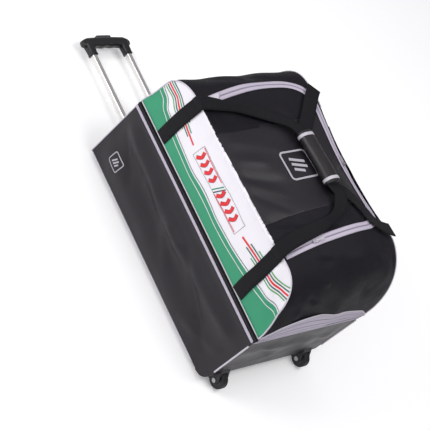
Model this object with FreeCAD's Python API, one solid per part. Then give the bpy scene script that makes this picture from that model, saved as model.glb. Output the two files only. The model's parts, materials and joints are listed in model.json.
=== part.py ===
"""Large wheeled holdall: a boxy coated lower compartment on a trolley frame, with a zip-off
upper compartment that has its own U-shaped zipped lid and two carry handles.

Units are millimetres. The bag lies flat on its skid rails and wheels.
+X runs from the trolley handle end to the wheel end, +Z is up, and -Y is the near, printed side.
The origin is under the middle of the bag, on the underside of the centre skid rail.
"""
import FreeCAD, Part
import math
import os

V = FreeCAD.Vector

# ---- driving dimensions -------------------------------------------------------------------
BAG_LENGTH = 760.0          # lower box, along X
BAG_WIDTH = 460.0           # lower box, along Y
LOWER_DEPTH = 255.0         # base to perimeter zip
GROUND_GAP = 14.0           # floor to the underside of the base
FABRIC = 3.0                # padded fabric wall
SEAM_GAP = 0.5              # between the two halves at the perimeter zip

TOP_EDGE_INSET = 25.0       # where the side walls meet the top, in from the box's sides
NEAR_EDGE_Z = 442.0
FAR_EDGE_Z = 478.0
CROWN_Z = 516.0             # top of the lid at the middle
HANDLE_SHOULDER_Z = 330.0   # where each end stops being upright
WHEEL_SHOULDER_Z = 310.0
HANDLE_SHOULDER_RUN = 95.0  # how far each end leans in by the crown's height
WHEEL_SHOULDER_RUN = 110.0
END_ABOVE_CROWN = 6.0

LID_HANDLE_INSET = 105.0    # outline of the U zip, in from the box's ends
LID_WHEEL_INSET = 150.0
LID_NEAR_INSET = 8.0        # and in from the top edges
LID_FAR_INSET = 25.0
LID_CORNER = 60.0
ZIP_TAPE = 10.0             # width of one zip tape
ZIP_GAP = 0.8               # between the two rows of teeth
HINGE_GAP = 1.0             # fold line along the lid's near edge
CENTRE_PANEL_INSET = (114.0, 97.0)  # the lid's two cross seams, in from its ends
TAPE_HEIGHT = 12.0          # perimeter zip tape
TAPE_PROUD = 1.5
DIVIDER = 2.0
LID_BADGE_CENTRE = (-11.0, -14.0)
LID_BADGE_HALF = (45.0, 48.0)
SIDE_BADGE_INSET = 87.0     # badge's middle, in from the handle end
SIDE_BADGE_ABOVE_BASE = 77.0
SIDE_BADGE_HALF = (26.0, 21.0)

WEBBING = 44.0              # carry handle webbing width
WEBBING_THICK = 3.0
SEWN_WEBBING = 2.5          # thickness of the webbing sewn on the sides
HANDLE_LIFT = 11.5          # handle webbing's middle above the lid
GRIP_LENGTH = 150.0         # padded wrap
GRIP_WIDTH = 62.0
GRIP_CENTRE = (-20.0, 62.0)
GRIP_UNDER = 8.0            # wrap below and above the webbing's middle
GRIP_OVER = 14.0
BAND_WIDTH = 12.0
BAND_THICK = 0.8
FAR_MIDDLE_Y = 107.0
FAR_MIDDLE_WIDTH = 22.0     # the far handle's middle is folded double
FAR_PIVOT_INSET = 17.0      # the far handle's fold, in from the far top edge
NEAR_LEG_INSET = (130.0, 145.0)  # sewn webbing's middle, in from the box's ends
FAR_LEG_INSET = (135.0, 140.0)
NEAR_BEND_X = (22.0, 45.0)  # the near handle's first bends, inward from the sewn legs
NEAR_BEND_Y = 142.0
NEAR_RUN_IN_X = (60.0, 77.0)  # and its last bends, outward from the wrap
NEAR_RUN_IN_Y = 40.0
NEAR_LEAN_X = 17.0          # the wheel-side leg starts this far inward
FAR_BEND_X = (80.0, 100.0)  # the far handle's bends, inward from its sewn legs
FAR_BEND_Y = 23.0
FAR_STRAIGHT = 16.0
FAR_JOIN = 8.0

TUBE_Y = 71.5               # trolley tubes, half spacing
TUBE_ABOVE_BASE = 23.5
OUTER_TUBE = 22.0
OUTER_WALL = 1.5
INNER_TUBE = 17.4
INNER_WALL = 1.2
TUBE_CORNER = 4.0
OUTER_TUBE_INSET = 62.0     # the outer tubes' end, in from the wheel end
TROLLEY_TRAVEL = 300.0
INNER_OVERLAP = 80.0        # inner tube left inside the outer tube when pulled out
BEZEL_FACE = 6.0
BUSH_THICK = 4.0
SLIDE_CLEARANCE = 0.3

GRIP_PAST_TUBE = 24.5       # trolley grip, past the tubes' middles
GRIP_BAR_DEPTH = 38.0
GRIP_BAR_THICK = 30.0
SOCKET_LENGTH = 28.0
GRIP_WALL = 6.0
SOCKET = 27.0
BUTTON_TRAVEL = 5.0
BUTTON_HALF = 28.0
PIN_TRAVEL = 4.0
PIN_RADIUS = 3.0
PIN_PROUD = 2.0
ROD_RADIUS = 2.0

WHEEL_RADIUS = 28.5
WHEEL_WIDTH = 22.0
WHEEL_INSET = 54.0          # wheel's middle, in from the box's side
WHEEL_PAST_END = 9.0
HUB_RADIUS = 17.0
AXLE_RADIUS = 4.0
AXLE_CLEARANCE = 0.05
WHEEL_CLEARANCE = 3.5
CHEEK = 6.0
HOUSING_BACK = 67.0         # housing length inside the bag, from the axle
HOUSING_TOP = 72.0
KICK_RADIUS = 40.0          # moulded guard along the wheel end's lower edge

BASE_BOARD = 3.5
RAIL_SPACING = 130.0
RAIL_WIDTH = 24.0
RAIL_INSET = (45.0, 145.0)  # the rails' ends, in from the box's ends
RIVET_INSET = 30.0
RAIL_END_RUN = 12.0
RIVET_RADIUS = 2.5
BRACKET_X = (-55.0, -25.0)
WHEEL_BRACKET = (28.0, 4.0)  # before and past the outer tubes' end
BRACKET_HEIGHT = 32.0
BRACKET_PAST_TUBE = 20.0
SCREW_RADIUS = 2.0
FRAME_SCREW_Y = 30.0
BEZEL_SCREW_PAST_TUBE = 24.5
BEZEL_PAST_TUBE = 30.5
BEZEL_BLOCK_PAST_TUBE = 20.5
BEZEL_BLOCK = 30.0          # how far the bezel reaches into the bag
LID_SLIDER_RUN = 79.0       # slider from the lid's fold
PERIMETER_SLIDER_INSET = 60.0
SLIDER_LENGTH = 12.0
SLIDER_WIDTH = 8.0
SLIDER_HEIGHT = 4.0
PULL_LENGTH = 28.0
PULL_WIDTH = 6.0
PULL_THICK = 1.6
LUG_RADIUS = 1.0
LUG_ABOVE = 1.2             # pull's pin above the slider's body

# ---- values worked out from them ----------------------------------------------------------
HALF_L = BAG_LENGTH / 2
HALF_W = BAG_WIDTH / 2
TOP_EDGE_Y = HALF_W - TOP_EDGE_INSET
LID_HANDLE_X = -HALF_L + LID_HANDLE_INSET
LID_WHEEL_X = HALF_L - LID_WHEEL_INSET
LID_NEAR_Y = -TOP_EDGE_Y + LID_NEAR_INSET
LID_FAR_Y = TOP_EDGE_Y - LID_FAR_INSET
CENTRE_PANEL_X = (LID_HANDLE_X + CENTRE_PANEL_INSET[0], LID_WHEEL_X - CENTRE_PANEL_INSET[1])
FAR_PIVOT_Y = TOP_EDGE_Y - FAR_PIVOT_INSET
NEAR_LEG_X = (-HALF_L + NEAR_LEG_INSET[0], HALF_L - NEAR_LEG_INSET[1])
FAR_LEG_X = (-HALF_L + FAR_LEG_INSET[0], HALF_L - FAR_LEG_INSET[1])
OUTER_TUBE_END_X = HALF_L - OUTER_TUBE_INSET
RAIL_X = (-HALF_L + RAIL_INSET[0], HALF_L - RAIL_INSET[1])
WHEEL_Y = HALF_W - WHEEL_INSET
GRIP_BAR_HALF = TUBE_Y + GRIP_PAST_TUBE
BEZEL_SCREW_Y = (-TUBE_Y - BEZEL_SCREW_PAST_TUBE, TUBE_Y + BEZEL_SCREW_PAST_TUBE)
BASE_Z = GROUND_GAP
ZIP_Z = BASE_Z + LOWER_DEPTH
UPPER_Z = ZIP_Z + SEAM_GAP
BOARD_Z = BASE_Z + FABRIC
FRAME_Z = BOARD_Z + BASE_BOARD
TUBE_Z = BASE_Z + TUBE_ABOVE_BASE
END_TOP_Z = CROWN_Z + END_ABOVE_CROWN
BEZEL_X = -HALF_L - BEZEL_FACE
BUSH_X = BEZEL_X - BUSH_THICK
SOCKET_X = BUSH_X - 2.0 - TROLLEY_TRAVEL
GRIP_UNDER_X = SOCKET_X - SOCKET_LENGTH
GRIP_TOP_X = GRIP_UNDER_X - GRIP_BAR_DEPTH
INNER_END_X = -HALF_L + INNER_OVERLAP
PIN_X = INNER_END_X + 14.0
WHEEL_X = HALF_L + WHEEL_PAST_END
WHEEL_Z = WHEEL_RADIUS
HOUSING_HALF = WHEEL_WIDTH / 2 + 1.5 + CHEEK
HOUSING_X = WHEEL_X - HOUSING_BACK
OUT = 1200.0                # further than any face of the bag


# ---- small helpers ------------------------------------------------------------------------
def box(x, y, z):
    """A box from three (low, high) pairs."""
    return Part.makeBox(x[1] - x[0], y[1] - y[0], z[1] - z[0], V(x[0], y[0], z[0]))


def centred_box(centre, size):
    return box(*[(c - s / 2, c + s / 2) for c, s in zip(centre, size)])


def rod(start, axis, length, radius):
    return Part.makeCylinder(radius, length, V(*start), V(*axis))


def fuse(shapes):
    whole = shapes[0]
    for shape in shapes[1:]:
        whole = whole.fuse(shape)
    return whole.removeSplitter()


def prism(edges, vector):
    return Part.Face(Part.Wire(edges)).extrude(vector)


def polygon_prism(points, vector):
    return Part.Face(Part.makePolygon(points + [points[0]])).extrude(vector)


def square_bar(x, y, z, size, corner):
    """A bar along X with a square section and rounded corners."""
    bar = centred_box((sum(x) / 2, y, z), (x[1] - x[0], size, size))
    along = [e for e in bar.Edges if abs(e.tangentAt(e.FirstParameter).x) > 0.99]
    return bar.makeFillet(corner, along)


def square_tube(x, y, z, size, wall):
    longer = (x[0] - 1, x[1] + 1)
    bore = square_bar(longer, y, z, size - 2 * wall, TUBE_CORNER - wall)
    return square_bar(x, y, z, size, TUBE_CORNER).cut(bore)


def write(name, shape):
    """One STEP file per piece; a compound keeps its separate solids."""
    solids = shape.Solids
    whole = solids[0] if len(solids) == 1 else Part.makeCompound(solids)
    whole.exportStep(os.path.join("parts", name + ".step"))


# ---- the crowned top: one arc across the bag, and arcs parallel to it ---------------------
def circle_through(a, b, c):
    """Centre (y, z) and radius of the circle through three points."""
    d = 2 * (a[0] * (b[1] - c[1]) + b[0] * (c[1] - a[1]) + c[0] * (a[1] - b[1]))
    sa, sb, sc = [p[0] ** 2 + p[1] ** 2 for p in (a, b, c)]
    y = (sa * (b[1] - c[1]) + sb * (c[1] - a[1]) + sc * (a[1] - b[1])) / d
    z = (sa * (c[0] - b[0]) + sb * (a[0] - c[0]) + sc * (b[0] - a[0])) / d
    return y, z, math.hypot(a[0] - y, a[1] - z)


CROWN_Y, CROWN_CENTRE_Z, CROWN_R = circle_through(
    (-TOP_EDGE_Y, NEAR_EDGE_Z), (0.0, CROWN_Z), (TOP_EDGE_Y, FAR_EDGE_Z))


def on_crown(y, above=0.0):
    """Height of the arc that lies 'above' the lid's surface, at y."""
    return CROWN_CENTRE_Z + math.sqrt((CROWN_R + above) ** 2 - (y - CROWN_Y) ** 2)


def crown_shell(low, high):
    """The space between two arcs parallel to the lid's surface, all along the bag."""
    start = V(-OUT, CROWN_Y, CROWN_CENTRE_Z)
    outer = Part.makeCylinder(CROWN_R + high, 2 * OUT, start, V(1, 0, 0))
    inner = Part.makeCylinder(CROWN_R + low, 2 * OUT, start, V(1, 0, 0))
    upper_half = box((-OUT, OUT), (-OUT, OUT), (CROWN_CENTRE_Z, 2 * OUT))
    return outer.cut(inner).common(upper_half)


# ---- the upper compartment's outer form ---------------------------------------------------
def across(inset):
    """Sides and crowned top, inset from the outer surface, as a prism along X."""
    half = HALF_W - inset
    edge = TOP_EDGE_Y - inset
    low_near = V(-OUT, -half, UPPER_Z)
    top_near = V(-OUT, -edge, on_crown(-edge, -inset))
    crown = V(-OUT, 0, on_crown(0, -inset))
    top_far = V(-OUT, edge, on_crown(edge, -inset))
    low_far = V(-OUT, half, UPPER_Z)
    edges = [Part.makeLine(low_near, top_near), Part.Arc(top_near, crown, top_far).toShape(),
             Part.makeLine(top_far, low_far), Part.makeLine(low_far, low_near)]
    return prism(edges, V(2 * OUT, 0, 0))


def shoulder(sign, shoulder_z, run, inset):
    """The arc that leans one end in: upright at the shoulder, through to the crown's height."""
    foot_x = HALF_L - inset
    rise = END_TOP_Z - inset - shoulder_z
    radius = (run ** 2 + rise ** 2) / (2 * run)
    angle = math.asin(rise / radius)
    points = [V(sign * (foot_x - radius + radius * math.cos(a)), -OUT,
                shoulder_z + radius * math.sin(a)) for a in (0, angle / 2, angle)]
    return points


def along(inset):
    """Both ends in side view, inset from the outer surface, as a prism along Y."""
    handle = shoulder(-1, HANDLE_SHOULDER_Z, HANDLE_SHOULDER_RUN, inset)
    wheel = shoulder(1, WHEEL_SHOULDER_Z, WHEEL_SHOULDER_RUN, inset)
    low_handle = V(handle[0].x, -OUT, UPPER_Z)
    low_wheel = V(wheel[0].x, -OUT, UPPER_Z)
    edges = [Part.makeLine(low_handle, handle[0]), Part.Arc(*handle).toShape(),
             Part.makeLine(handle[2], wheel[2]), Part.Arc(*reversed(wheel)).toShape(),
             Part.makeLine(wheel[0], low_wheel), Part.makeLine(low_wheel, low_handle)]
    return prism(edges, V(0, 2 * OUT, 0))


def side_wedge(sign):
    """The region of one side wall: below the line from the crown's centre to the top edge."""
    edge_z = on_crown(sign * TOP_EDGE_Y)
    reach = 2.0
    y = CROWN_Y + reach * (sign * TOP_EDGE_Y - CROWN_Y)
    z = CROWN_CENTRE_Z + reach * (edge_z - CROWN_CENTRE_Z)
    points = [V(-OUT, CROWN_Y, CROWN_CENTRE_Z), V(-OUT, y, z), V(-OUT, sign * OUT, z),
              V(-OUT, sign * OUT, -OUT), V(-OUT, CROWN_Y, -OUT)]
    return polygon_prism(points, V(2 * OUT, 0, 0))


def lid_outline(inset):
    """The U zip's outline as a prism along Z; its near edge is the fold and isn't inset."""
    x0, x1, y1 = LID_HANDLE_X + inset, LID_WHEEL_X - inset, LID_FAR_Y - inset
    plate = box((x0, x1), (LID_NEAR_Y, y1), (0, OUT))
    corners = [e for e in plate.Edges
               if abs(e.tangentAt(e.FirstParameter).z) > 0.99 and e.CenterOfMass.y > 0]
    return plate.makeFillet(LID_CORNER - inset, corners)


def upper_compartment():
    outer = across(0).common(along(0))
    ends = outer.cut(along(FABRIC))
    write("upper_handle_end_panel", ends.common(box((-OUT, 0), (-OUT, OUT), (0, OUT))))
    write("upper_wheel_end_panel", ends.common(box((0, OUT), (-OUT, OUT), (0, OUT))))
    inside_ends = outer.common(along(FABRIC))
    sides = inside_ends.cut(across(FABRIC))
    near, far = side_wedge(-1), side_wedge(1)
    write("near_side_panel", sides.common(near))
    write("far_side_panel", sides.common(far))
    top = sides.cut(near).cut(far)
    write("top_border", top.cut(lid_outline(0)))
    inner = across(FABRIC).common(along(FABRIC))
    write("divider_panel", inner.common(box((-OUT, OUT), (-OUT, OUT), (UPPER_Z, UPPER_Z + DIVIDER))))
    write("upper_zip_tape", perimeter_tape(UPPER_Z, UPPER_Z + TAPE_HEIGHT))
    write("lid_zip_outer_tape", top.common(lid_outline(0).cut(lid_outline(ZIP_TAPE))))
    return top


def perimeter_tape(z_low, z_high):
    """Zip tape round the near side, the wheel end and the far side; the handle end has none."""
    grow = TAPE_PROUD
    if z_low < ZIP_Z:
        outer = box((-HALF_L, HALF_L + grow), (-HALF_W - grow, HALF_W + grow), (z_low, z_high))
        inner = box((-OUT, HALF_L), (-HALF_W, HALF_W), (0, OUT))
        return outer.cut(inner)
    band = box((-HALF_L, OUT), (-OUT, OUT), (z_low, z_high))
    return across(-grow).common(along(-grow)).common(band).cut(across(0).common(along(0)))


def lid(top):
    """Three panels inside the U zip, the zip's inner tape and a badge."""
    fold = box((-OUT, OUT), (LID_NEAR_Y + HINGE_GAP, OUT), (0, OUT))
    tape = lid_outline(ZIP_TAPE + ZIP_GAP).cut(lid_outline(2 * ZIP_TAPE + ZIP_GAP))
    write("lid_zip_inner_tape", top.common(tape).common(fold))
    cloth = top.common(lid_outline(2 * ZIP_TAPE + ZIP_GAP)).common(fold)
    x0, x1 = CENTRE_PANEL_X
    for name, low, high in (("lid_handle_end_panel", -OUT, x0), ("lid_centre_panel", x0, x1),
                            ("lid_wheel_end_panel", x1, OUT)):
        write(name, cloth.common(box((low, high), (-OUT, OUT), (0, OUT))))
    (x, y), (half_x, half_y) = LID_BADGE_CENTRE, LID_BADGE_HALF
    badge = box((x - half_x, x + half_x), (y - half_y, y + half_y), (0, OUT))
    write("lid_badge", crown_shell(0, 1).common(badge))


# ---- carry handles ------------------------------------------------------------------------
def strap_outline(points, width):
    """Plan outline of a flat strap along a chain of points, as a prism along Z."""
    pieces = []
    for (x0, y0), (x1, y1) in zip(points, points[1:]):
        length = math.hypot(x1 - x0, y1 - y0)
        turn = math.degrees(math.atan2(y1 - y0, x1 - x0))
        run = Part.makeBox(length, width, OUT, V(0, -width / 2, 0))
        run.rotate(V(0, 0, 0), V(0, 0, 1), turn)
        run.translate(V(x0, y0, 0))
        pieces.append(run)
    for x, y in points[1:-1]:
        pieces.append(Part.makeCylinder(width / 2, OUT, V(x, y, 0)))
    return fuse(pieces)


def webbing_shell():
    half = WEBBING_THICK / 2
    return crown_shell(HANDLE_LIFT - half, HANDLE_LIFT + half)


def pivot_y(sign):
    """Y of the fold at a top edge, on the handle webbing's own arc."""
    scale = (CROWN_R + HANDLE_LIFT) / CROWN_R
    return CROWN_Y + scale * (sign * TOP_EDGE_Y - CROWN_Y)


def near_handle():
    x, y = GRIP_CENTRE
    start_x, end_x = x - GRIP_LENGTH / 2, x + GRIP_LENGTH / 2
    y0 = pivot_y(-1)
    bend_y, run_in_y = y - NEAR_BEND_Y, y - NEAR_RUN_IN_Y
    handle_leg = [(NEAR_LEG_X[0], y0), (NEAR_LEG_X[0] + NEAR_BEND_X[0], bend_y),
                  (start_x - NEAR_RUN_IN_X[0], run_in_y), (start_x, y), (x, y)]
    wheel_leg = [(NEAR_LEG_X[1] - NEAR_LEAN_X, y0), (NEAR_LEG_X[1] - NEAR_BEND_X[1], bend_y),
                 (end_x + NEAR_RUN_IN_X[1], run_in_y), (end_x, y), (x, y)]
    outline = fuse([strap_outline(handle_leg, WEBBING), strap_outline(wheel_leg, WEBBING)])
    past_fold = box((-OUT, OUT), (y0, OUT), (0, OUT))
    webbing = webbing_shell().common(outline).common(past_fold)
    write("near_handle_webbing", webbing)
    plan = box((start_x, end_x), (y - GRIP_WIDTH / 2, y + GRIP_WIDTH / 2), (0, OUT))
    pad = crown_shell(HANDLE_LIFT - GRIP_UNDER, HANDLE_LIFT + GRIP_OVER).common(plan)
    write("grip_wrap", pad.cut(webbing))
    bands = []
    for band_x in (start_x + 4, end_x - 4 - BAND_WIDTH):
        plan = box((band_x, band_x + BAND_WIDTH),
                   (y - GRIP_WIDTH / 2 - BAND_THICK, y + GRIP_WIDTH / 2 + BAND_THICK), (0, OUT))
        ring = crown_shell(HANDLE_LIFT - GRIP_UNDER - BAND_THICK,
                           HANDLE_LIFT + GRIP_OVER + BAND_THICK).common(plan).cut(pad)
        bands.append(ring)
    write("grip_bands", Part.makeCompound(bands))


def far_handle():
    """Two short folds at the far edge, and the loop that hangs on them."""
    x, _ = GRIP_CENTRE
    start_x, end_x = x - GRIP_LENGTH / 2, x + GRIP_LENGTH / 2
    y0 = pivot_y(1)
    folds = []
    for leg_x in FAR_LEG_X:
        plan = box((leg_x - WEBBING / 2, leg_x + WEBBING / 2),
                   (FAR_PIVOT_Y + SLIDE_CLEARANCE, y0), (0, OUT))
        folds.append(webbing_shell().common(plan))
    write("far_handle_folds", Part.makeCompound(folds))
    bend_y, join_y = FAR_MIDDLE_Y + FAR_BEND_Y, FAR_MIDDLE_Y + FAR_JOIN
    legs = []
    for leg_x, bend_x, end in ((FAR_LEG_X[0], FAR_LEG_X[0] + FAR_BEND_X[0], start_x),
                               (FAR_LEG_X[1], FAR_LEG_X[1] - FAR_BEND_X[1], end_x)):
        legs.append([(leg_x, FAR_PIVOT_Y + WEBBING), (leg_x, FAR_PIVOT_Y - FAR_STRAIGHT),
                     (bend_x, bend_y), (end, join_y)])
    outlines = [strap_outline(points, WEBBING) for points in legs]
    outlines.append(strap_outline([(start_x, FAR_MIDDLE_Y), (end_x, FAR_MIDDLE_Y)],
                                  FAR_MIDDLE_WIDTH))
    beside_wrap = GRIP_CENTRE[1] + GRIP_WIDTH / 2 + BAND_THICK + 1.0
    plan = box((-OUT, OUT), (beside_wrap, FAR_PIVOT_Y), (0, OUT))
    write("far_handle_webbing", webbing_shell().common(fuse(outlines)).common(plan))


def sewn_webbing():
    """The handles' ends, sewn flat on the sides from the perimeter zip to the top edges."""
    skin = across(-SEWN_WEBBING).cut(across(0))
    for name, sign, leg_x in (("near_webbing_legs", -1, NEAR_LEG_X),
                              ("far_webbing_legs", 1, FAR_LEG_X)):
        side = skin.common(side_wedge(sign))
        low = UPPER_Z + TAPE_HEIGHT + 1
        legs = [side.common(box((x - WEBBING / 2, x + WEBBING / 2), (-OUT, OUT), (low, OUT)))
                for x in leg_x]
        write(name, Part.makeCompound(legs))


# ---- zip sliders --------------------------------------------------------------------------
def slider_pair():
    """A slider running along Y on z = 0, with its pull lying along +Y on a pin along X."""
    body = centred_box((0, 0, SLIDER_HEIGHT / 2), (SLIDER_WIDTH, SLIDER_LENGTH, SLIDER_HEIGHT))
    long_edges = [e for e in body.Edges if abs(e.tangentAt(e.FirstParameter).z) > 0.99]
    body = body.makeFillet(2.0, long_edges)
    pin_z = SLIDER_HEIGHT + LUG_ABOVE
    pin = rod((-SLIDER_WIDTH / 2, 0, pin_z), (1, 0, 0), SLIDER_WIDTH, LUG_RADIUS)
    ears = [box((s * SLIDER_WIDTH / 2 - 0.5 - s * 0.5, s * SLIDER_WIDTH / 2 + 0.5 - s * 0.5),
                (-1.5, 1.5), (SLIDER_HEIGHT - 0.5, pin_z + LUG_RADIUS)) for s in (-1, 1)]
    body = fuse([body, pin] + ears)
    eye = LUG_RADIUS + AXLE_CLEARANCE
    half = PULL_WIDTH / 2 - 0.5
    tab = fuse([rod((-half, 0, pin_z), (1, 0, 0), 2 * half, eye + 1.1),
                box((-half, half), (0, PULL_LENGTH), (pin_z - PULL_THICK / 2, pin_z + PULL_THICK / 2))])
    hole = rod((-half - 1, 0, pin_z), (1, 0, 0), 2 * half + 2, eye)
    trough = box((-half, half), (-2.3, 2.3), (0, SLIDER_HEIGHT))
    return body.cut(trough.common(rod((-half, 0, pin_z), (1, 0, 0), 2 * half, eye + 1.4))), tab.cut(hole)


def placed(shape, turns, position):
    """A copy turned by (axis, degrees) pairs in order, then moved."""
    copy = shape.copy()
    for axis, degrees in turns:
        copy.rotate(V(0, 0, 0), V(*axis), degrees)
    copy.translate(V(*position))
    return copy


def crown_angle(y):
    """Slope of the lid across the bag at y, in degrees about X."""
    return -math.degrees(math.asin((y - CROWN_Y) / CROWN_R))


def zip_sliders():
    body, pull = slider_pair()
    above = 0.4
    lid_y = LID_NEAR_Y + LID_SLIDER_RUN
    spot = (LID_WHEEL_X - ZIP_TAPE / 2 + 1, lid_y, on_crown(lid_y, above))
    turns = [((1, 0, 0), crown_angle(lid_y))]
    write("lid_slider", placed(body, turns, spot))
    write("lid_slider_pull", placed(pull, turns, spot))
    far_y = LID_FAR_Y - ZIP_TAPE / 2 + 1
    spot = (0.0, far_y, on_crown(far_y, above))
    turns = [((0, 0, 1), 90), ((1, 0, 0), crown_angle(far_y))]
    write("far_slider", placed(body, turns, spot))
    write("far_slider_pull", placed(pull, turns, spot))
    spot = (HALF_L - PERIMETER_SLIDER_INSET, HALF_W + TAPE_PROUD + above, ZIP_Z - TAPE_HEIGHT / 2)
    turns = [((0, 0, 1), 90), ((1, 0, 0), -90)]
    write("perimeter_slider", placed(body, turns, spot))
    write("perimeter_slider_pull", placed(pull, turns, spot))


# ---- lower compartment --------------------------------------------------------------------
def housing_notch(sign, grow=0.0):
    y = sign * WHEEL_Y
    half = HOUSING_HALF + grow
    return box((HOUSING_X - grow, OUT), (y - half, y + half), (-OUT, HOUSING_TOP + grow))


def lower_compartment():
    wheel_corner = box((HALF_L - KICK_RADIUS, OUT), (-OUT, OUT), (-OUT, BASE_Z + KICK_RADIUS))
    round_corner = rod((HALF_L - KICK_RADIUS, -OUT, BASE_Z + KICK_RADIUS), (0, 1, 0), 2 * OUT,
                       KICK_RADIUS)
    for name, y in (("lower_near_panel", (-HALF_W, -HALF_W + FABRIC)),
                    ("lower_far_panel", (HALF_W - FABRIC, HALF_W))):
        panel = box((-HALF_L, HALF_L), y, (BASE_Z, ZIP_Z))
        write(name, panel.cut(wheel_corner.cut(round_corner)))
    inside = (-HALF_W + FABRIC, HALF_W - FABRIC)
    notches = [housing_notch(-1), housing_notch(1)]
    end = box((HALF_L - FABRIC, HALF_L), inside, (BASE_Z + KICK_RADIUS, ZIP_Z))
    base = box((-HALF_L + FABRIC, HALF_L - KICK_RADIUS), inside, (BASE_Z, BOARD_Z))
    kick = round_corner.common(wheel_corner).common(box((0, OUT), inside, (0, OUT)))
    kick = kick.cut(rod((HALF_L - KICK_RADIUS, -OUT, BASE_Z + KICK_RADIUS), (0, 1, 0), 2 * OUT,
                        KICK_RADIUS - FABRIC))
    board = box((-HALF_L + FABRIC + 5, HALF_L - KICK_RADIUS), (inside[0] + 5, inside[1] - 5),
                (BOARD_Z, FRAME_Z))
    for notch in notches:
        end, base, kick, board = [s.cut(notch) for s in (end, base, kick, board)]
    write("lower_wheel_end_panel", end)
    write("kick_plate", kick)
    holes = [rod((x, y, 0), (0, 0, 1), OUT, RIVET_RADIUS) for x, y in rivet_spots()]
    holes += [rod((x, y, 0), (0, 0, 1), OUT, SCREW_RADIUS) for x, y in screw_spots()]
    for hole in holes:
        base, board = base.cut(hole), board.cut(hole)
    write("base_panel", base)
    write("base_board", board)
    end = box((-HALF_L, -HALF_L + FABRIC), inside, (BASE_Z, ZIP_Z)).cut(bezel_insert(-HALF_L - 1))
    for y in BEZEL_SCREW_Y:
        end = end.cut(rod((-OUT, y, TUBE_Z), (1, 0, 0), OUT, SCREW_RADIUS))
    write("lower_handle_end_panel", end)
    write("lower_zip_tape", perimeter_tape(ZIP_Z - TAPE_HEIGHT, ZIP_Z))
    x, z = -HALF_L + SIDE_BADGE_INSET, BASE_Z + SIDE_BADGE_ABOVE_BASE
    half_x, half_z = SIDE_BADGE_HALF
    badge = box((x - half_x, x + half_x), (-HALF_W - 1, -HALF_W), (z - half_z, z + half_z))
    write("side_badge", badge)


def rivet_spots():
    return [(x, y) for x in (RAIL_X[0] + RIVET_INSET, RAIL_X[1] - RIVET_INSET)
            for y in (-RAIL_SPACING, 0.0, RAIL_SPACING)]


def screw_spots():
    return [(x, y) for x in (sum(BRACKET_X) / 2, OUTER_TUBE_END_X - WHEEL_BRACKET[0] / 2)
            for y in (-FRAME_SCREW_Y, FRAME_SCREW_Y)]


def skid_rails():
    """Three moulded runners under the base, each riveted near its ends."""
    rails, rivets = [], []
    recess = 8.0
    for y in (-RAIL_SPACING, 0.0, RAIL_SPACING):
        x0, x1 = RAIL_X
        side = [V(x0, y - RAIL_WIDTH / 2, BASE_Z), V(x0 + RAIL_END_RUN, y - RAIL_WIDTH / 2, 0),
                V(x1 - RAIL_END_RUN, y - RAIL_WIDTH / 2, 0), V(x1, y - RAIL_WIDTH / 2, BASE_Z)]
        rails.append(polygon_prism(side, V(0, RAIL_WIDTH, 0)))
    rails = Part.makeCompound(rails)
    for x, y in rivet_spots():
        rails = rails.cut(rod((x, y, 0), (0, 0, 1), BASE_Z, RIVET_RADIUS))
        rails = rails.cut(rod((x, y, -1), (0, 0, 1), recess + 1, 6.0))
        rivets.append(fuse([rod((x, y, recess - 2), (0, 0, 1), 2, 5.0),
                            rod((x, y, recess), (0, 0, 1), FRAME_Z - recess, RIVET_RADIUS),
                            rod((x, y, FRAME_Z), (0, 0, 1), 1.5, 4.5)]))
    write("skid_rails", rails)
    write("rail_rivets", Part.makeCompound(rivets))


# ---- trolley frame ------------------------------------------------------------------------
def bezel_insert(x_start):
    """The block that fills the handle end's cut-out."""
    x_end = -HALF_L + BEZEL_BLOCK
    return centred_box(((x_start + x_end) / 2, 0, TUBE_Z),
                       (x_end - x_start, 2 * (TUBE_Y + BEZEL_BLOCK_PAST_TUBE), OUTER_TUBE + 10))


def outer_tube_slot(y):
    """Where the lock pin runs: a slot in the wall that faces the other tube."""
    inward = -1 if y > 0 else 1
    return centred_box((PIN_X + TROLLEY_TRAVEL / 2, y + inward * OUTER_TUBE / 2, TUBE_Z),
                       (TROLLEY_TRAVEL + 2 * PIN_RADIUS + 2, 6.0, 2 * PIN_RADIUS + 0.8))


def pin_groove(y):
    """Room for the lock pins' tips in the brackets."""
    inward = -1 if y > 0 else 1
    return centred_box((0, y + inward * (OUTER_TUBE / 2 + 1.5), TUBE_Z),
                       (2 * HALF_L, 5.0, 2 * PIN_RADIUS + 3))


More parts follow.
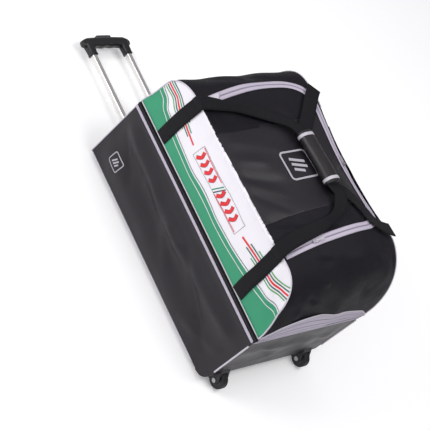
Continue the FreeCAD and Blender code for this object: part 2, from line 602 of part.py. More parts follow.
def frame():
    solid_tubes = [square_bar((BEZEL_X, OUTER_TUBE_END_X), y, TUBE_Z, OUTER_TUBE, TUBE_CORNER)
                   for y in (-TUBE_Y, TUBE_Y)]
    for name, y in (("outer_tube_near", -TUBE_Y), ("outer_tube_far", TUBE_Y)):
        tube = square_tube((BEZEL_X, OUTER_TUBE_END_X), y, TUBE_Z, OUTER_TUBE, OUTER_WALL)
        write(name, tube.cut(outer_tube_slot(y)))
    flange = centred_box((BEZEL_X + BEZEL_FACE / 2, 0, TUBE_Z),
                         (BEZEL_FACE, 2 * (TUBE_Y + BEZEL_PAST_TUBE), OUTER_TUBE + 20))
    edges = [e for e in flange.Edges if abs(e.tangentAt(e.FirstParameter).x) > 0.99]
    bezel = fuse([flange.makeFillet(10, edges), bezel_insert(-HALF_L)])
    across_tubes = (-TUBE_Y - BRACKET_PAST_TUBE, TUBE_Y + BRACKET_PAST_TUBE)
    upright = (FRAME_Z, FRAME_Z + BRACKET_HEIGHT)
    middle = box(BRACKET_X, across_tubes, upright)
    ends = (OUTER_TUBE_END_X - WHEEL_BRACKET[0], OUTER_TUBE_END_X + WHEEL_BRACKET[1])
    wheel_end = box(ends, across_tubes, upright)
    screws = []
    for x, y in screw_spots():
        screws.append(fuse([rod((x, y, BASE_Z - 1.5), (0, 0, 1), 1.5, 2 * SCREW_RADIUS),
                            rod((x, y, BASE_Z), (0, 0, 1), 20, SCREW_RADIUS)]))
    for y in BEZEL_SCREW_Y:
        screws.append(fuse([rod((BEZEL_X - 1.5, y, TUBE_Z), (1, 0, 0), 1.5, 2 * SCREW_RADIUS),
                            rod((BEZEL_X, y, TUBE_Z), (1, 0, 0), 9, SCREW_RADIUS)]))
    for piece in solid_tubes + screws:
        bezel, middle, wheel_end = [s.cut(piece) for s in (bezel, middle, wheel_end)]
    for y in (-TUBE_Y, TUBE_Y):
        middle, wheel_end = middle.cut(pin_groove(y)), wheel_end.cut(pin_groove(y))
    write("handle_bezel", bezel)
    write("middle_bracket", middle)
    write("wheel_end_bracket", wheel_end)
    write("frame_screws", Part.makeCompound(screws))
    bushes = []
    for y in (-TUBE_Y, TUBE_Y):
        collar = square_bar((BUSH_X, BEZEL_X), y, TUBE_Z, OUTER_TUBE + 6, TUBE_CORNER + 2)
        hole = square_bar((BUSH_X - 1, BEZEL_X + 1), y, TUBE_Z, INNER_TUBE + 2 * SLIDE_CLEARANCE,
                          TUBE_CORNER)
        bushes.append(collar.cut(hole))
    write("tube_bushes", Part.makeCompound(bushes))


def trolley():
    guides = []
    inner_bore = OUTER_TUBE - 2 * OUTER_WALL
    for name, y, inward in (("near", -TUBE_Y, 1), ("far", TUBE_Y, -1)):
        x = (GRIP_UNDER_X - 4, INNER_END_X)
        write("inner_tube_" + name, square_tube(x, y, TUBE_Z, INNER_TUBE, INNER_WALL))
        head = square_bar((INNER_END_X, INNER_END_X + 28), y, TUBE_Z,
                          inner_bore - 2 * SLIDE_CLEARANCE, 2.0)
        plug = square_bar((INNER_END_X - 20, INNER_END_X), y, TUBE_Z,
                          INNER_TUBE - 2 * INNER_WALL, TUBE_CORNER - INNER_WALL)
        guide = fuse([head, plug])
        rod_hole = rod((INNER_END_X - 21, y, TUBE_Z), (1, 0, 0), PIN_X - INNER_END_X + 21,
                       ROD_RADIUS + SLIDE_CLEARANCE)
        pin_length = OUTER_TUBE / 2 + PIN_PROUD - 1
        pin = rod((PIN_X, y + inward, TUBE_Z), (0, inward, 0), pin_length, PIN_RADIUS)
        pin_hole = rod((PIN_X, y - inward * PIN_TRAVEL, TUBE_Z), (0, inward, 0), OUTER_TUBE,
                       PIN_RADIUS + AXLE_CLEARANCE)
        write("lock_pin_" + name, pin)
        guides.append(guide.cut(rod_hole).cut(pin_hole))
    write("tube_guides", Part.makeCompound(guides))
    write("trolley_grip", trolley_grip())


def trolley_grip():
    """Moulded hollow bar with a down-turned socket at each end."""
    bar = box((GRIP_TOP_X, GRIP_UNDER_X), (-GRIP_BAR_HALF, GRIP_BAR_HALF),
              (TUBE_Z - GRIP_BAR_THICK / 2, TUBE_Z + GRIP_BAR_THICK / 2))
    edges = [e for e in bar.Edges if abs(e.tangentAt(e.FirstParameter).y) > 0.99]
    grip = bar.makeFillet(9.0, edges)
    for y in (-TUBE_Y, TUBE_Y):
        socket = square_bar((GRIP_UNDER_X - 12, SOCKET_X), y, TUBE_Z, SOCKET, 6.0)
        grip = grip.fuse(socket)
    half = GRIP_BAR_HALF - 2 * GRIP_WALL
    cavity = box((GRIP_TOP_X + GRIP_WALL, GRIP_UNDER_X - 4), (-half, half), (TUBE_Z - 9, TUBE_Z + 9))
    slot = box((GRIP_TOP_X - 1, GRIP_TOP_X + GRIP_WALL + 1),
               (-BUTTON_HALF - 0.5, BUTTON_HALF + 0.5), (TUBE_Z - 7.5, TUBE_Z + 7.5))
    grip = grip.cut(cavity).cut(slot)
    for y in (-TUBE_Y, TUBE_Y):
        grip = grip.cut(square_bar((GRIP_UNDER_X - 4, SOCKET_X + 1), y, TUBE_Z, INNER_TUBE,
                                   TUBE_CORNER))
    return grip.removeSplitter()


def button():
    """Push button with a cross bar that carries two long rods down the inner tubes."""
    bar_x = GRIP_TOP_X + GRIP_WALL + 3
    cap = box((GRIP_TOP_X - BUTTON_TRAVEL, bar_x), (-BUTTON_HALF, BUTTON_HALF),
              (TUBE_Z - 7, TUBE_Z + 7))
    rim = [e for e in cap.Edges if e.CenterOfMass.x < GRIP_TOP_X - BUTTON_TRAVEL + 0.1]
    cap = cap.makeFillet(2.0, rim)
    half = GRIP_BAR_HALF - 3 * GRIP_WALL
    bar = box((bar_x, bar_x + 6), (-half, half), (TUBE_Z - 6, TUBE_Z + 6))
    write("push_button", fuse([cap, bar]))
    rods = [rod((bar_x + 6, y, TUBE_Z), (1, 0, 0), PIN_X - 10 - bar_x - 6, ROD_RADIUS)
            for y in (-TUBE_Y, TUBE_Y)]
    write("push_rods", Part.makeCompound(rods))


# ---- wheels -------------------------------------------------------------------------------
def wheels():
    axles = []
    for name, y in (("near", -WHEEL_Y), ("far", WHEEL_Y)):
        half = WHEEL_WIDTH / 2
        tyre = rod((WHEEL_X, y - half, WHEEL_Z), (0, 1, 0), WHEEL_WIDTH, WHEEL_RADIUS)
        rims = [e for e in tyre.Edges if abs(e.Length - 2 * math.pi * WHEEL_RADIUS) < 0.1]
        tyre = tyre.makeFillet(4.0, rims)
        core = rod((WHEEL_X, y - half, WHEEL_Z), (0, 1, 0), WHEEL_WIDTH, HUB_RADIUS)
        bore = rod((WHEEL_X, y - half - 1, WHEEL_Z), (0, 1, 0), WHEEL_WIDTH + 2,
                   AXLE_RADIUS + AXLE_CLEARANCE)
        write("tyre_" + name, tyre.cut(core))
        write("hub_" + name, core.cut(bore))
        axle = [rod((WHEEL_X, y - HOUSING_HALF, WHEEL_Z), (0, 1, 0), 2 * HOUSING_HALF,
                    AXLE_RADIUS)]
        axle += [rod((WHEEL_X, y + s * HOUSING_HALF, WHEEL_Z), (0, s, 0), 2, AXLE_RADIUS + 3)
                 for s in (-1, 1)]
        axles.append(fuse(axle))
        write("wheel_housing_" + name, wheel_housing(y))
    write("wheel_axles", Part.makeCompound(axles))


def wheel_housing(y):
    """Moulded block let into the lower corner, with two cheeks that hold the axle."""
    side = y - HOUSING_HALF
    outline = [V(HOUSING_X, side, BASE_Z), V(HOUSING_X, side, HOUSING_TOP),
               V(HALF_L, side, HOUSING_TOP), V(WHEEL_X + 11, side, WHEEL_Z + 14),
               V(WHEEL_X + 11, side, WHEEL_Z - 8), V(WHEEL_X + 4, side, BASE_Z)]
    block = polygon_prism(outline, V(0, 2 * HOUSING_HALF, 0))
    well_half = WHEEL_WIDTH / 2 + 1.5
    well = rod((WHEEL_X, y - well_half, WHEEL_Z), (0, 1, 0), 2 * well_half,
               WHEEL_RADIUS + WHEEL_CLEARANCE)
    mouth = box((WHEEL_X, OUT), (y - well_half, y + well_half), (0, WHEEL_Z + WHEEL_RADIUS))
    axle_hole = rod((WHEEL_X, side - 1, WHEEL_Z), (0, 1, 0), 2 * HOUSING_HALF + 2, AXLE_RADIUS)
    return block.cut(well).cut(mouth).cut(axle_hole)


os.makedirs("parts", exist_ok=True)
lower_compartment()
skid_rails()
frame()
trolley()
button()
wheels()
lid(upper_compartment())
near_handle()
far_handle()
sewn_webbing()
zip_sliders()
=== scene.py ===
import json
import math

import bmesh
import bpy
from mathutils import Matrix, Vector, noise
from mathutils.bvhtree import BVHTree


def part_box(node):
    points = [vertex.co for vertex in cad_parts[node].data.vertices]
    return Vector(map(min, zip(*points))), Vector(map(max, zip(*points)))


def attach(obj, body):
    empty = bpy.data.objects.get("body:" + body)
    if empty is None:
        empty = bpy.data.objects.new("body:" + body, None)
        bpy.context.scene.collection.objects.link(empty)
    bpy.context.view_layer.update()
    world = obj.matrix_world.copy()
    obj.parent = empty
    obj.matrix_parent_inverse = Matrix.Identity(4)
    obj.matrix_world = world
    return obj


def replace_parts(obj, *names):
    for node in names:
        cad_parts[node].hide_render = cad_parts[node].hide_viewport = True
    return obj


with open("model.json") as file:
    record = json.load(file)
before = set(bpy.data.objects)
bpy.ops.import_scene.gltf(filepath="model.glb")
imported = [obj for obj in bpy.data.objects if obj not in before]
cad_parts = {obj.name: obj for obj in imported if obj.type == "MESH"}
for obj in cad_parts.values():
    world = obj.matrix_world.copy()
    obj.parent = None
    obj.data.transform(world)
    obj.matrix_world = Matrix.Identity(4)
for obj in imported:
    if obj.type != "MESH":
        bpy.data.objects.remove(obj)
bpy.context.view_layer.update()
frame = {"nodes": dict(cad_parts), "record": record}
NODES = frame["nodes"]

# Sizes in metres, in the row frame: +X from the pull handle's end to the wheels, -Y the printed side, +Z up.
HALF_LENGTH = 0.380
HALF_WIDTH = 0.230
BASE_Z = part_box("base_panel")[0].z
ZIP_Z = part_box("lower_zip_tape")[1].z
NEAR_LEAN = 0.133
FAR_LEAN = 0.108
KICK_RADIUS = 0.040

# Side outlines of the upper half as (x, z): the printed near side, and the plain far side, matched point by point.
NEAR_OUTLINE = [
    (-0.3800, 0.2795), (-0.3790, 0.297), (-0.3735, 0.327), (-0.3710, 0.362), (-0.3680, 0.395), (-0.3500, 0.420),
    (-0.3210, 0.437), (-0.2850, 0.445), (-0.2300, 0.446), (-0.1400, 0.446), (-0.0450, 0.448), (0.0500, 0.450),
    (0.1300, 0.452), (0.1900, 0.457), (0.2400, 0.463), (0.2830, 0.461), (0.3180, 0.442), (0.3420, 0.408),
    (0.3560, 0.370), (0.3690, 0.332), (0.3770, 0.303), (0.3800, 0.2795),
]
FAR_OUTLINE = [
    (-0.3800, 0.2795), (-0.3790, 0.312), (-0.3770, 0.350), (-0.3740, 0.386), (-0.3640, 0.412), (-0.3460, 0.450),
    (-0.3200, 0.480), (-0.2840, 0.496), (-0.2200, 0.503), (-0.1400, 0.492), (-0.0500, 0.480), (0.0400, 0.475),
    (0.1200, 0.478), (0.1850, 0.492), (0.2350, 0.505), (0.2700, 0.504), (0.3080, 0.484), (0.3380, 0.452),
    (0.3600, 0.412), (0.3730, 0.370), (0.3800, 0.322), (0.3805, 0.2795),
]
# How far the cloth between those outlines swells out, station by station.
SWELL = [
    0.0, 0.001, 0.001, 0.001, 0.001, 0.001, 0.002, 0.004, 0.010, 0.026, 0.040,
    0.048, 0.054, 0.056, 0.054, 0.046, 0.035, 0.026, 0.020, 0.014, 0.008, 0.0,
]
TOP_FROM, TOP_TO = 8 / 21, 13 / 21
# The lid's zip line seen from above.
LID_LINE = [
    (-0.258, -0.200), (-0.270, -0.140), (-0.281, -0.070), (-0.286, 0.000), (-0.284, 0.070), (-0.274, 0.125),
    (-0.246, 0.165), (-0.200, 0.181), (-0.120, 0.184), (-0.020, 0.184), (0.080, 0.183), (0.150, 0.179),
    (0.192, 0.158), (0.211, 0.110), (0.217, 0.040), (0.221, -0.030), (0.225, -0.100), (0.229, -0.160),
    (0.232, -0.200),
]


# --- materials -------------------------------------------------------------------------------------------------
def tint(hex_colour):
    """Linear RGBA of an sRGB colour written as #rrggbb."""
    parts = [int(hex_colour[i : i + 2], 16) / 255 for i in (1, 3, 5)]
    return [p / 12.92 if p <= 0.04045 else ((p + 0.055) / 1.055) ** 2.4 for p in parts] + [1.0]


def add_node(tree, kind, inputs=(), **settings):
    """A shader node with its settings, each input a plain value or a socket to link from."""
    node = tree.nodes.new(kind)
    for key, value in settings.items():
        setattr(node, key, value)
    for key, value in dict(inputs).items():
        if hasattr(value, "is_output"):
            tree.links.new(value, node.inputs[key])
        else:
            node.inputs[key].default_value = value
    return node


class Finish:
    """One procedural material: a Principled shader and the nodes that feed it."""

    def __init__(self, name, colour, rough, metal=0.0, **values):
        self.material = bpy.data.materials.new(name)
        self.material.use_nodes = True
        self.tree = self.material.node_tree
        self.shader = self.tree.nodes["Principled BSDF"]
        self.shader.inputs["Base Color"].default_value = tint(colour)
        self.shader.inputs["Roughness"].default_value = rough
        self.shader.inputs["Metallic"].default_value = metal
        for key, value in values.items():
            self.shader.inputs[key.replace("_", " ")].default_value = value
        self.place = self.add("ShaderNodeTexCoord").outputs["Object"]

    def add(self, kind, inputs=(), **settings):
        return add_node(self.tree, kind, inputs, **settings)

    def math(self, operation, a, b=0.0):
        return self.add("ShaderNodeMath", {0: a, 1: b}, operation=operation).outputs[0]

    def flow(self):
        """Metres along and across a strip, from the piece's own UV map."""
        self.place = self.add("ShaderNodeTexCoord").outputs["UV"]
        return self

    def weave(self, pitch, strength, height=0.0003, slant=0.0):
        """Threads crossing at a real pitch in metres, as a bump."""
        turn = self.add("ShaderNodeMapping", {"Vector": self.place, "Rotation": (slant, slant, slant)})
        axes = self.add("ShaderNodeSeparateXYZ", {"Vector": turn.outputs[0]}).outputs
        turns = 2 * math.pi / pitch
        warp = self.math("SINE", self.math("MULTIPLY", axes[0], turns))
        weft = self.math("SINE", self.math("MULTIPLY", self.math("ADD", axes[1], axes[2]), turns))
        return self.bump(self.math("MULTIPLY", warp, weft), strength, height)

    def grain(self, size, strength, height=0.0005, detail=3.0):
        cloud = self.add("ShaderNodeTexNoise", {"Vector": self.place, "Scale": 1 / size, "Detail": detail})
        return self.bump(cloud.outputs["Fac"], strength, height)

    def bump(self, height_from, strength, height):
        inputs = {"Height": height_from, "Strength": strength, "Distance": height}
        old = self.shader.inputs["Normal"].links
        if old:
            inputs["Normal"] = old[0].from_socket
        self.tree.links.new(self.add("ShaderNodeBump", inputs).outputs[0], self.shader.inputs["Normal"])
        return self

    def uneven(self, size, rough_from, rough_to, dark, light):
        """Slow changes of gloss and colour, as handled cloth has."""
        cloud = self.add("ShaderNodeTexNoise", {"Vector": self.place, "Scale": 1 / size, "Detail": 4.0})
        spread = {"From Min": 0.3, "From Max": 0.7, "To Min": rough_from, "To Max": rough_to}
        gloss = self.add("ShaderNodeMapRange", {"Value": cloud.outputs["Fac"], **spread})
        self.tree.links.new(gloss.outputs[0], self.shader.inputs["Roughness"])
        ends = {"Factor": cloud.outputs["Fac"], "A": tint(dark), "B": tint(light)}
        shade = self.add("ShaderNodeMix", ends, data_type="RGBA")
        return self.colour(shade.outputs["Result"])

    def colour(self, socket):
        self.tree.links.new(socket, self.shader.inputs["Base Color"])
        return self


# polyester cloth with a smooth coating, black: a low even sheen, with the weave only just showing through
coated = Finish("coated_polyester_black", "#1c191f", 0.5, Specular_IOR_Level=0.34)
coated.weave(0.0011, 0.2, 0.0002).grain(0.03, 0.10, 0.0015).uneven(0.06, 0.38, 0.50, "#19161c", "#1e1b21")
# woven nylon cloth, black: more matt than the coated cloth, with its weave showing
nylon = Finish("woven_nylon_black", "#0f0e13", 0.7, Specular_IOR_Level=0.22)
nylon.weave(0.0014, 0.4, 0.0003).grain(0.012, 0.2, 0.0015).uneven(0.05, 0.60, 0.76, "#0f0d14", "#13111a")
# woven polyester, printed white ground: matt, with a fine weave
printed = Finish("printed_polyester_white", "#e6e3ea", 0.62)
printed.weave(0.0012, 0.2, 0.0002).grain(0.03, 0.2, 0.002)


def ink(name, colour):
    return Finish(name, colour, 0.6).weave(0.0012, 0.2, 0.0002)


# transfer inks on the woven polyester: flat colour that keeps the cloth's own weave
INK_GREEN = ink("ink_green", "#2c8f69")
INK_DARK_GREEN = ink("ink_dark_green", "#1b5a4b")
INK_LIGHT_GREEN = ink("ink_leaf_green", "#3f9a3a")
INK_RED = ink("ink_red", "#dc262c")
INK_CHARCOAL = ink("ink_charcoal", "#3a3a40")


def woven_webbing(name):
    """Polyester webbing woven flat with ribs along it, black."""
    return Finish(name, "#111016", 0.72, Specular_IOR_Level=0.25)


# the straps carry their own map along their length; the CAD's sewn webbing has none and reads object coordinates
webbing = woven_webbing("woven_webbing_black").flow().weave(0.0022, 0.8, 0.0005, 0.6)
webbing_plain = woven_webbing("woven_webbing_black_plain_map").weave(0.0022, 0.8, 0.0005, 0.6)
# zip tape woven in polyester, pale lilac grey, and a black copy of it: matt, finely ribbed. The black copy is
# painted shade: it stands in for the tape lying in shade in the gap under the upper half's overhang
pale_tape = Finish("zip_tape_lilac_grey", "#b7afc0", 0.7).weave(0.001, 0.35, 0.0002)
tape_painted_shade = Finish("zip_tape_black_painted_shade", "#0c0b0e", 0.75, Specular_IOR_Level=0.2).weave(0.001, 0.35, 0.0002)
# moulded zip teeth: a small glint on each tooth
teeth_pale = Finish("zip_teeth_lilac_grey", "#8d8698", 0.45)
teeth_black = Finish("zip_teeth_black", "#121115", 0.4)
# stitched seams, dark lilac grey thread: on the gusset it lies in the tucks' creases, and paints their shade as well
# as the stitching
tuck_thread_and_crease_shade = Finish("seam_thread_and_painted_crease_shade", "#7d7688", 0.7)
# piping: cord covered in pale woven tape
piping = Finish("covered_piping_pale_grey", "#c9c4cf", 0.6).weave(0.0009, 0.3, 0.0002)
# die-cast zinc, satin nickel: soft grey reflections over a slightly uneven skin
nickel = Finish("die_cast_nickel", "#b9b8bd", 0.3, 1.0).grain(0.004, 0.05, 0.0002)
# rubberised print, silver grey: smooth beside the cloth
silver_print = Finish("screen_print_silver_grey", "#a9a5ae", 0.45).grain(0.002, 0.1, 0.0002)
# soft synthetic leather, black: a pebbled grain and a low sheen
leather = Finish("synthetic_leather_black", "#1b191d", 0.48, Specular_IOR_Level=0.4)
leather.grain(0.0025, 0.35, 0.0004).uneven(0.03, 0.42, 0.52, "#19171b", "#201e22")
# stitched reflective tape, light grey: brighter than the leather it bands
reflective = Finish("reflective_tape_grey", "#bdb9c2", 0.4).weave(0.0016, 0.4, 0.0002)
# extruded aluminium, polished and drawn lengthwise: clear reflections, faintly streaked along the tube
aluminium = Finish("polished_aluminium", "#e4e2e0", 0.32, 1.0)
drawn = aluminium.add("ShaderNodeMapping", {"Vector": aluminium.place, "Scale": (2.0, 160.0, 160.0)})
streaks = aluminium.add("ShaderNodeTexNoise", {"Vector": drawn.outputs[0], "Scale": 1.0, "Detail": 2.0})
aluminium.bump(streaks.outputs["Fac"], 0.03, 0.0001)
# injection moulded nylon and polypropylene, black and graphite: a finely pitted, satin skin
moulded = Finish("moulded_plastic_black", "#121216", 0.42).grain(0.0009, 0.2, 0.0002)
button_plastic = Finish("button_plastic_graphite", "#3a3a40", 0.35).grain(0.0009, 0.1, 0.0001)
board = Finish("extruded_board_grey", "#4a494d", 0.6).grain(0.004, 0.2, 0.0003)
hub = Finish("wheel_hub_plastic_graphite", "#2a2a2e", 0.45).grain(0.001, 0.15, 0.0002)
# cast polyurethane tyre, black: matt, a little rough
tyre = Finish("polyurethane_tyre_black", "#151517", 0.6).grain(0.0015, 0.3, 0.0003)
# zinc-plated steel: grey and bright, without a mirror's clearness
steel = Finish("zinc_plated_steel", "#a7a8ab", 0.35, 1.0).grain(0.003, 0.05, 0.0001)

# the CAD's zip tapes take the black copy of the tape, which is painted shade
SLOT_FINISH = {
    "coated_fabric": coated, "nylon_fabric": nylon, "printed_fabric": printed, "webbing": webbing_plain,
    "zip_tape": tape_painted_shade, "zip_metal": nickel, "badge_print": silver_print, "grip_leather": leather,
    "reflective_band": reflective, "tube_aluminium": aluminium, "moulded_black": moulded,
    "button_plastic": button_plastic, "board_plastic": board, "steel": steel, "tyre_rubber": tyre,
    "hub_plastic": hub,
}
for entry in frame["record"]["subparts"]:
    mesh = NODES[entry["node"]].data
    mesh.materials.clear()
    mesh.materials.append(SLOT_FINISH[entry["material_slot"]].material)


# --- shapes ----------------------------------------------------------------------------------------------------
def through(points, t):
    """Smooth curve through the points, t from 0 to 1."""
    span = min(max(t, 0.0), 1.0) * (len(points) - 1)
    i = min(int(span), len(points) - 2)
    f = span - i
    p = [Vector(points[max(min(k, len(points) - 1), 0)]) for k in range(i - 1, i + 3)]
    bend = (2 * p[0] - 5 * p[1] + 4 * p[2] - p[3]) * f**2
    return 0.5 * (2 * p[1] + (p[2] - p[0]) * f + bend + (3 * p[1] - p[0] - 3 * p[2] + p[3]) * f**3)


def level(values, t):
    """The same smooth curve through plain numbers."""
    return through([(v, 0.0) for v in values], t).x


def even_points(points, count):
    """Points at even steps along the smooth curve through the points."""
    fine = [through(points, k / 400) for k in range(401)]
    run = [0.0]
    for a, b in zip(fine, fine[1:]):
        run.append(run[-1] + (b - a).length)
    out, k = [], 0
    for step in range(count):
        want = run[-1] * step / (count - 1)
        while k < 399 and run[k + 1] < want:
            k += 1
        out.append(fine[k].lerp(fine[k + 1], min(1.0, (want - run[k]) / max(run[k + 1] - run[k], 1e-9))))
    return out


def finish_piece(name, bm, finish, body, smooth=True):
    mesh = bpy.data.meshes.new(name)
    bm.normal_update()
    bm.to_mesh(mesh)
    bm.free()
    mesh.materials.append(finish.material)
    if smooth:
        mesh.polygons.foreach_set("use_smooth", [True] * len(mesh.polygons))
    piece = bpy.data.objects.new(name, mesh)
    bpy.context.scene.collection.objects.link(piece)
    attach(piece, body)
    return piece


def patch(nu, nv, place, size=(1.0, 1.0), weld=False):
    """A grid of nu by nv faces laid by place(u, v), u and v from 0 to 1.

    Its UV map is in metres, of the given size.
    """
    bm = bmesh.new()
    uv = bm.loops.layers.uv.new("flat")
    bmesh.ops.create_grid(bm, x_segments=nu, y_segments=nv, size=0.5)
    for face in bm.faces:
        for loop in face.loops:
            loop[uv].uv = ((loop.vert.co.x + 0.5) * size[0], (loop.vert.co.y + 0.5) * size[1])
    for vert in bm.verts:
        vert.co = place(vert.co.x + 0.5, vert.co.y + 0.5)
    if weld:
        bmesh.ops.remove_doubles(bm, verts=bm.verts, dist=1e-6)
    return bm


def thicken(piece, amount, offset=-1.0):
    """Cloth thickness, laid to the inside."""
    layer = piece.modifiers.new("thickness", "SOLIDIFY")
    layer.thickness = amount
    layer.offset = offset
    return piece


def face_out(bm, centre):
    """Turns the faces so that they look away from the centre."""
    bm.normal_update()
    total = sum((f.calc_center_median() - centre).normalized().dot(f.normal) * f.calc_area() for f in bm.faces)
    if total < 0:
        bmesh.ops.reverse_faces(bm, faces=bm.faces)
    return bm


def close_ends(bm, sides):
    """Caps a welded tube's two mouths and turns its faces outwards."""
    bmesh.ops.holes_fill(bm, edges=bm.edges, sides=sides)
    bmesh.ops.recalc_face_normals(bm, faces=bm.faces)
    return bm


def step_at(u, count):
    """The path point that a grid's u falls on."""
    return min(int(round(u * (count - 1))), count - 1)


def heading(path, k):
    """The direction of a path at its point k."""
    return (path[min(k + 1, len(path) - 1)] - path[max(k - 1, 0)]).normalized()


def soft_square(c, s, power):
    """How far out a rounded square lies in the direction (c, s), where a circle would lie at 1."""
    return (abs(c) ** power + abs(s) ** power) ** (-1 / power)


# a point in the middle of the bag, which outer faces look away from
INSIDE = Vector((0, 0, 0.26))
CORD_SIDES = 8
# a direction that no cord follows, from which each cord's section is set out
CORD_ASIDE = Vector((0.12, 0.31, 0.94))


def rope(name, path, radius, finish, body):
    """A round cord along the path's points."""
    count = len(path)

    def place(u, v):
        k = int(u * (count - 1))
        along = heading(path, k)
        side = along.cross(CORD_ASIDE).normalized()
        turn = v * 2 * math.pi
        return path[k] + (side * math.cos(turn) + along.cross(side) * math.sin(turn)) * radius

    bm = patch(count - 1, CORD_SIDES, place, (0.005 * count, 0.01), weld=True)
    return finish_piece(name, close_ends(bm, CORD_SIDES), finish, body)


# --- the bag's cloth -------------------------------------------------------------------------------------------
# Long soft folds as (from, to, half width, height): the cloth stands proud along each line, or sinks where the
# height is below 0. FOLDS lie in the top cloth, LOWER_FOLDS in the lower box and PRINT_FOLDS in the printed side.
FOLDS = [
    ((-0.21, -0.17, 0.46), (-0.17, 0.08, 0.50), 0.050, -0.020),
    ((-0.27, -0.10, 0.47), (-0.22, 0.12, 0.50), 0.030, -0.008),
    ((-0.13, -0.18, 0.46), (-0.07, -0.05, 0.50), 0.020, 0.004),
    ((-0.02, -0.20, 0.45), (0.03, -0.10, 0.50), 0.015, -0.006),
    ((0.00, -0.20, 0.45), (0.07, -0.11, 0.50), 0.013, 0.003),
    ((0.03, -0.20, 0.45), (0.12, -0.12, 0.50), 0.013, -0.004),
    ((-0.07, -0.20, 0.45), (-0.04, -0.12, 0.49), 0.014, 0.005),
    ((0.13, -0.19, 0.46), (0.19, -0.02, 0.53), 0.018, -0.009),
    ((0.16, -0.19, 0.46), (0.20, -0.08, 0.52), 0.010, 0.006),
    ((0.24, -0.20, 0.455), (0.29, -0.09, 0.51), 0.011, -0.010),
    ((0.25, -0.20, 0.455), (0.33, -0.10, 0.47), 0.011, 0.009),
    ((0.26, -0.20, 0.450), (0.36, -0.12, 0.42), 0.012, -0.010),
    ((0.28, -0.20, 0.450), (0.37, -0.15, 0.37), 0.010, 0.007),
    ((0.25, -0.16, 0.47), (0.30, 0.02, 0.52), 0.018, 0.007),
    ((0.30, -0.06, 0.50), (0.36, 0.10, 0.43), 0.026, -0.008),
    ((0.27, 0.04, 0.52), (0.34, 0.17, 0.46), 0.022, 0.007),
    ((0.34, -0.14, 0.42), (0.38, 0.02, 0.36), 0.020, 0.006),
    ((0.25, 0.12, 0.51), (0.31, 0.19, 0.48), 0.014, -0.006),
    ((-0.34, -0.10, 0.44), (-0.28, 0.10, 0.47), 0.020, -0.004),
    ((-0.33, 0.02, 0.45), (-0.27, 0.19, 0.48), 0.015, -0.005),
    ((-0.38, -0.05, 0.33), (-0.37, 0.18, 0.37), 0.016, -0.005),
    ((-0.10, 0.22, 0.30), (0.02, 0.21, 0.48), 0.020, 0.005),
    ((0.12, 0.22, 0.30), (0.20, 0.21, 0.47), 0.024, -0.006),
    ((-0.28, 0.22, 0.31), (-0.20, 0.21, 0.46), 0.018, -0.005),
]
LOWER_FOLDS = [
    ((-0.37, -0.23, 0.205), (0.02, -0.23, 0.168), 0.024, 0.009),
    ((-0.02, -0.23, 0.167), (0.36, -0.23, 0.190), 0.024, 0.009),
    ((-0.36, -0.23, 0.080), (0.20, -0.23, 0.040), 0.040, 0.006),
    ((-0.30, -0.23, 0.140), (0.30, -0.23, 0.110), 0.030, -0.006),
    ((-0.30, -0.23, 0.240), (0.36, -0.23, 0.232), 0.014, -0.004),
    ((-0.16, -0.23, 0.190), (0.05, -0.23, 0.090), 0.018, 0.004),
    ((0.06, -0.23, 0.190), (0.30, -0.23, 0.080), 0.016, -0.004),
    ((-0.35, -0.23, 0.190), (-0.22, -0.23, 0.100), 0.014, -0.004),
    ((0.20, -0.23, 0.060), (0.36, -0.23, 0.130), 0.020, 0.005),
    ((-0.34, 0.23, 0.20), (0.34, 0.23, 0.14), 0.030, 0.008),
    ((-0.10, 0.23, 0.08), (0.20, 0.23, 0.18), 0.022, -0.004),
    ((0.38, -0.20, 0.20), (0.38, 0.18, 0.16), 0.024, 0.006),
    ((0.38, -0.21, 0.24), (0.38, -0.05, 0.12), 0.014, -0.004),
    ((0.38, 0.02, 0.23), (0.38, 0.18, 0.12), 0.014, -0.004),
    ((-0.38, -0.15, 0.21), (-0.38, 0.17, 0.18), 0.026, 0.005),
]
PRINT_FOLDS = [
    ((-0.37, -0.21, 0.31), (-0.31, -0.21, 0.40), 0.016, -0.005),
    ((-0.35, -0.21, 0.29), (-0.28, -0.21, 0.38), 0.014, 0.004),
    ((-0.02, -0.21, 0.44), (0.03, -0.21, 0.37), 0.016, -0.004),
    ((0.04, -0.21, 0.44), (0.10, -0.21, 0.40), 0.014, 0.004),
    ((0.24, -0.21, 0.45), (0.31, -0.21, 0.36), 0.018, 0.005),
    ((0.28, -0.21, 0.44), (0.36, -0.21, 0.33), 0.014, -0.004),
    ((-0.16, -0.21, 0.44), (-0.12, -0.21, 0.37), 0.016, -0.003),
]


def fold_height(point, folds):
    """How far a set of folds raises the cloth at a point."""
    total = 0.0
    for start, end, width, height in folds:
        a = Vector(start)
        run = Vector(end) - a
        along = min(max((point - a).dot(run) / run.length_squared, 0.0), 1.0)
        gap = (point - a - run * along).length / width
        if gap < 3:
            fade = min(1.0, 1.6 * math.sin(math.pi * (0.12 + 0.76 * along)))
            total += height * fade * math.exp(-gap * gap)
    return total


def ripple(point, size, height):
    return noise.noise(point / size) * height


def near_side_y(x, z):
    """The printed side: leans in toward the top and is filled out a little in the middle."""
    across = max(0.0, 1 - (x / HALF_LENGTH) ** 2) ** 0.6
    up = math.sin(math.pi * min(max((z - ZIP_Z) / 0.185, 0.0), 1.0))
    swell = 0.007 * across * up
    wave = (ripple(Vector((x * 0.5, 0.3, z)), 0.05, 0.0040) + fold_height(Vector((x, -0.21, z)), PRINT_FOLDS)) * up
    return -HALF_WIDTH + NEAR_LEAN * (z - ZIP_Z) - swell - wave


def far_side_y(x, z):
    across = max(0.0, 1 - (x / HALF_LENGTH) ** 2) ** 0.6
    up = math.sin(math.pi * min(max((z - ZIP_Z) / 0.24, 0.0), 1.0))
    return HALF_WIDTH - FAR_LEAN * (z - ZIP_Z) + 0.010 * across * up


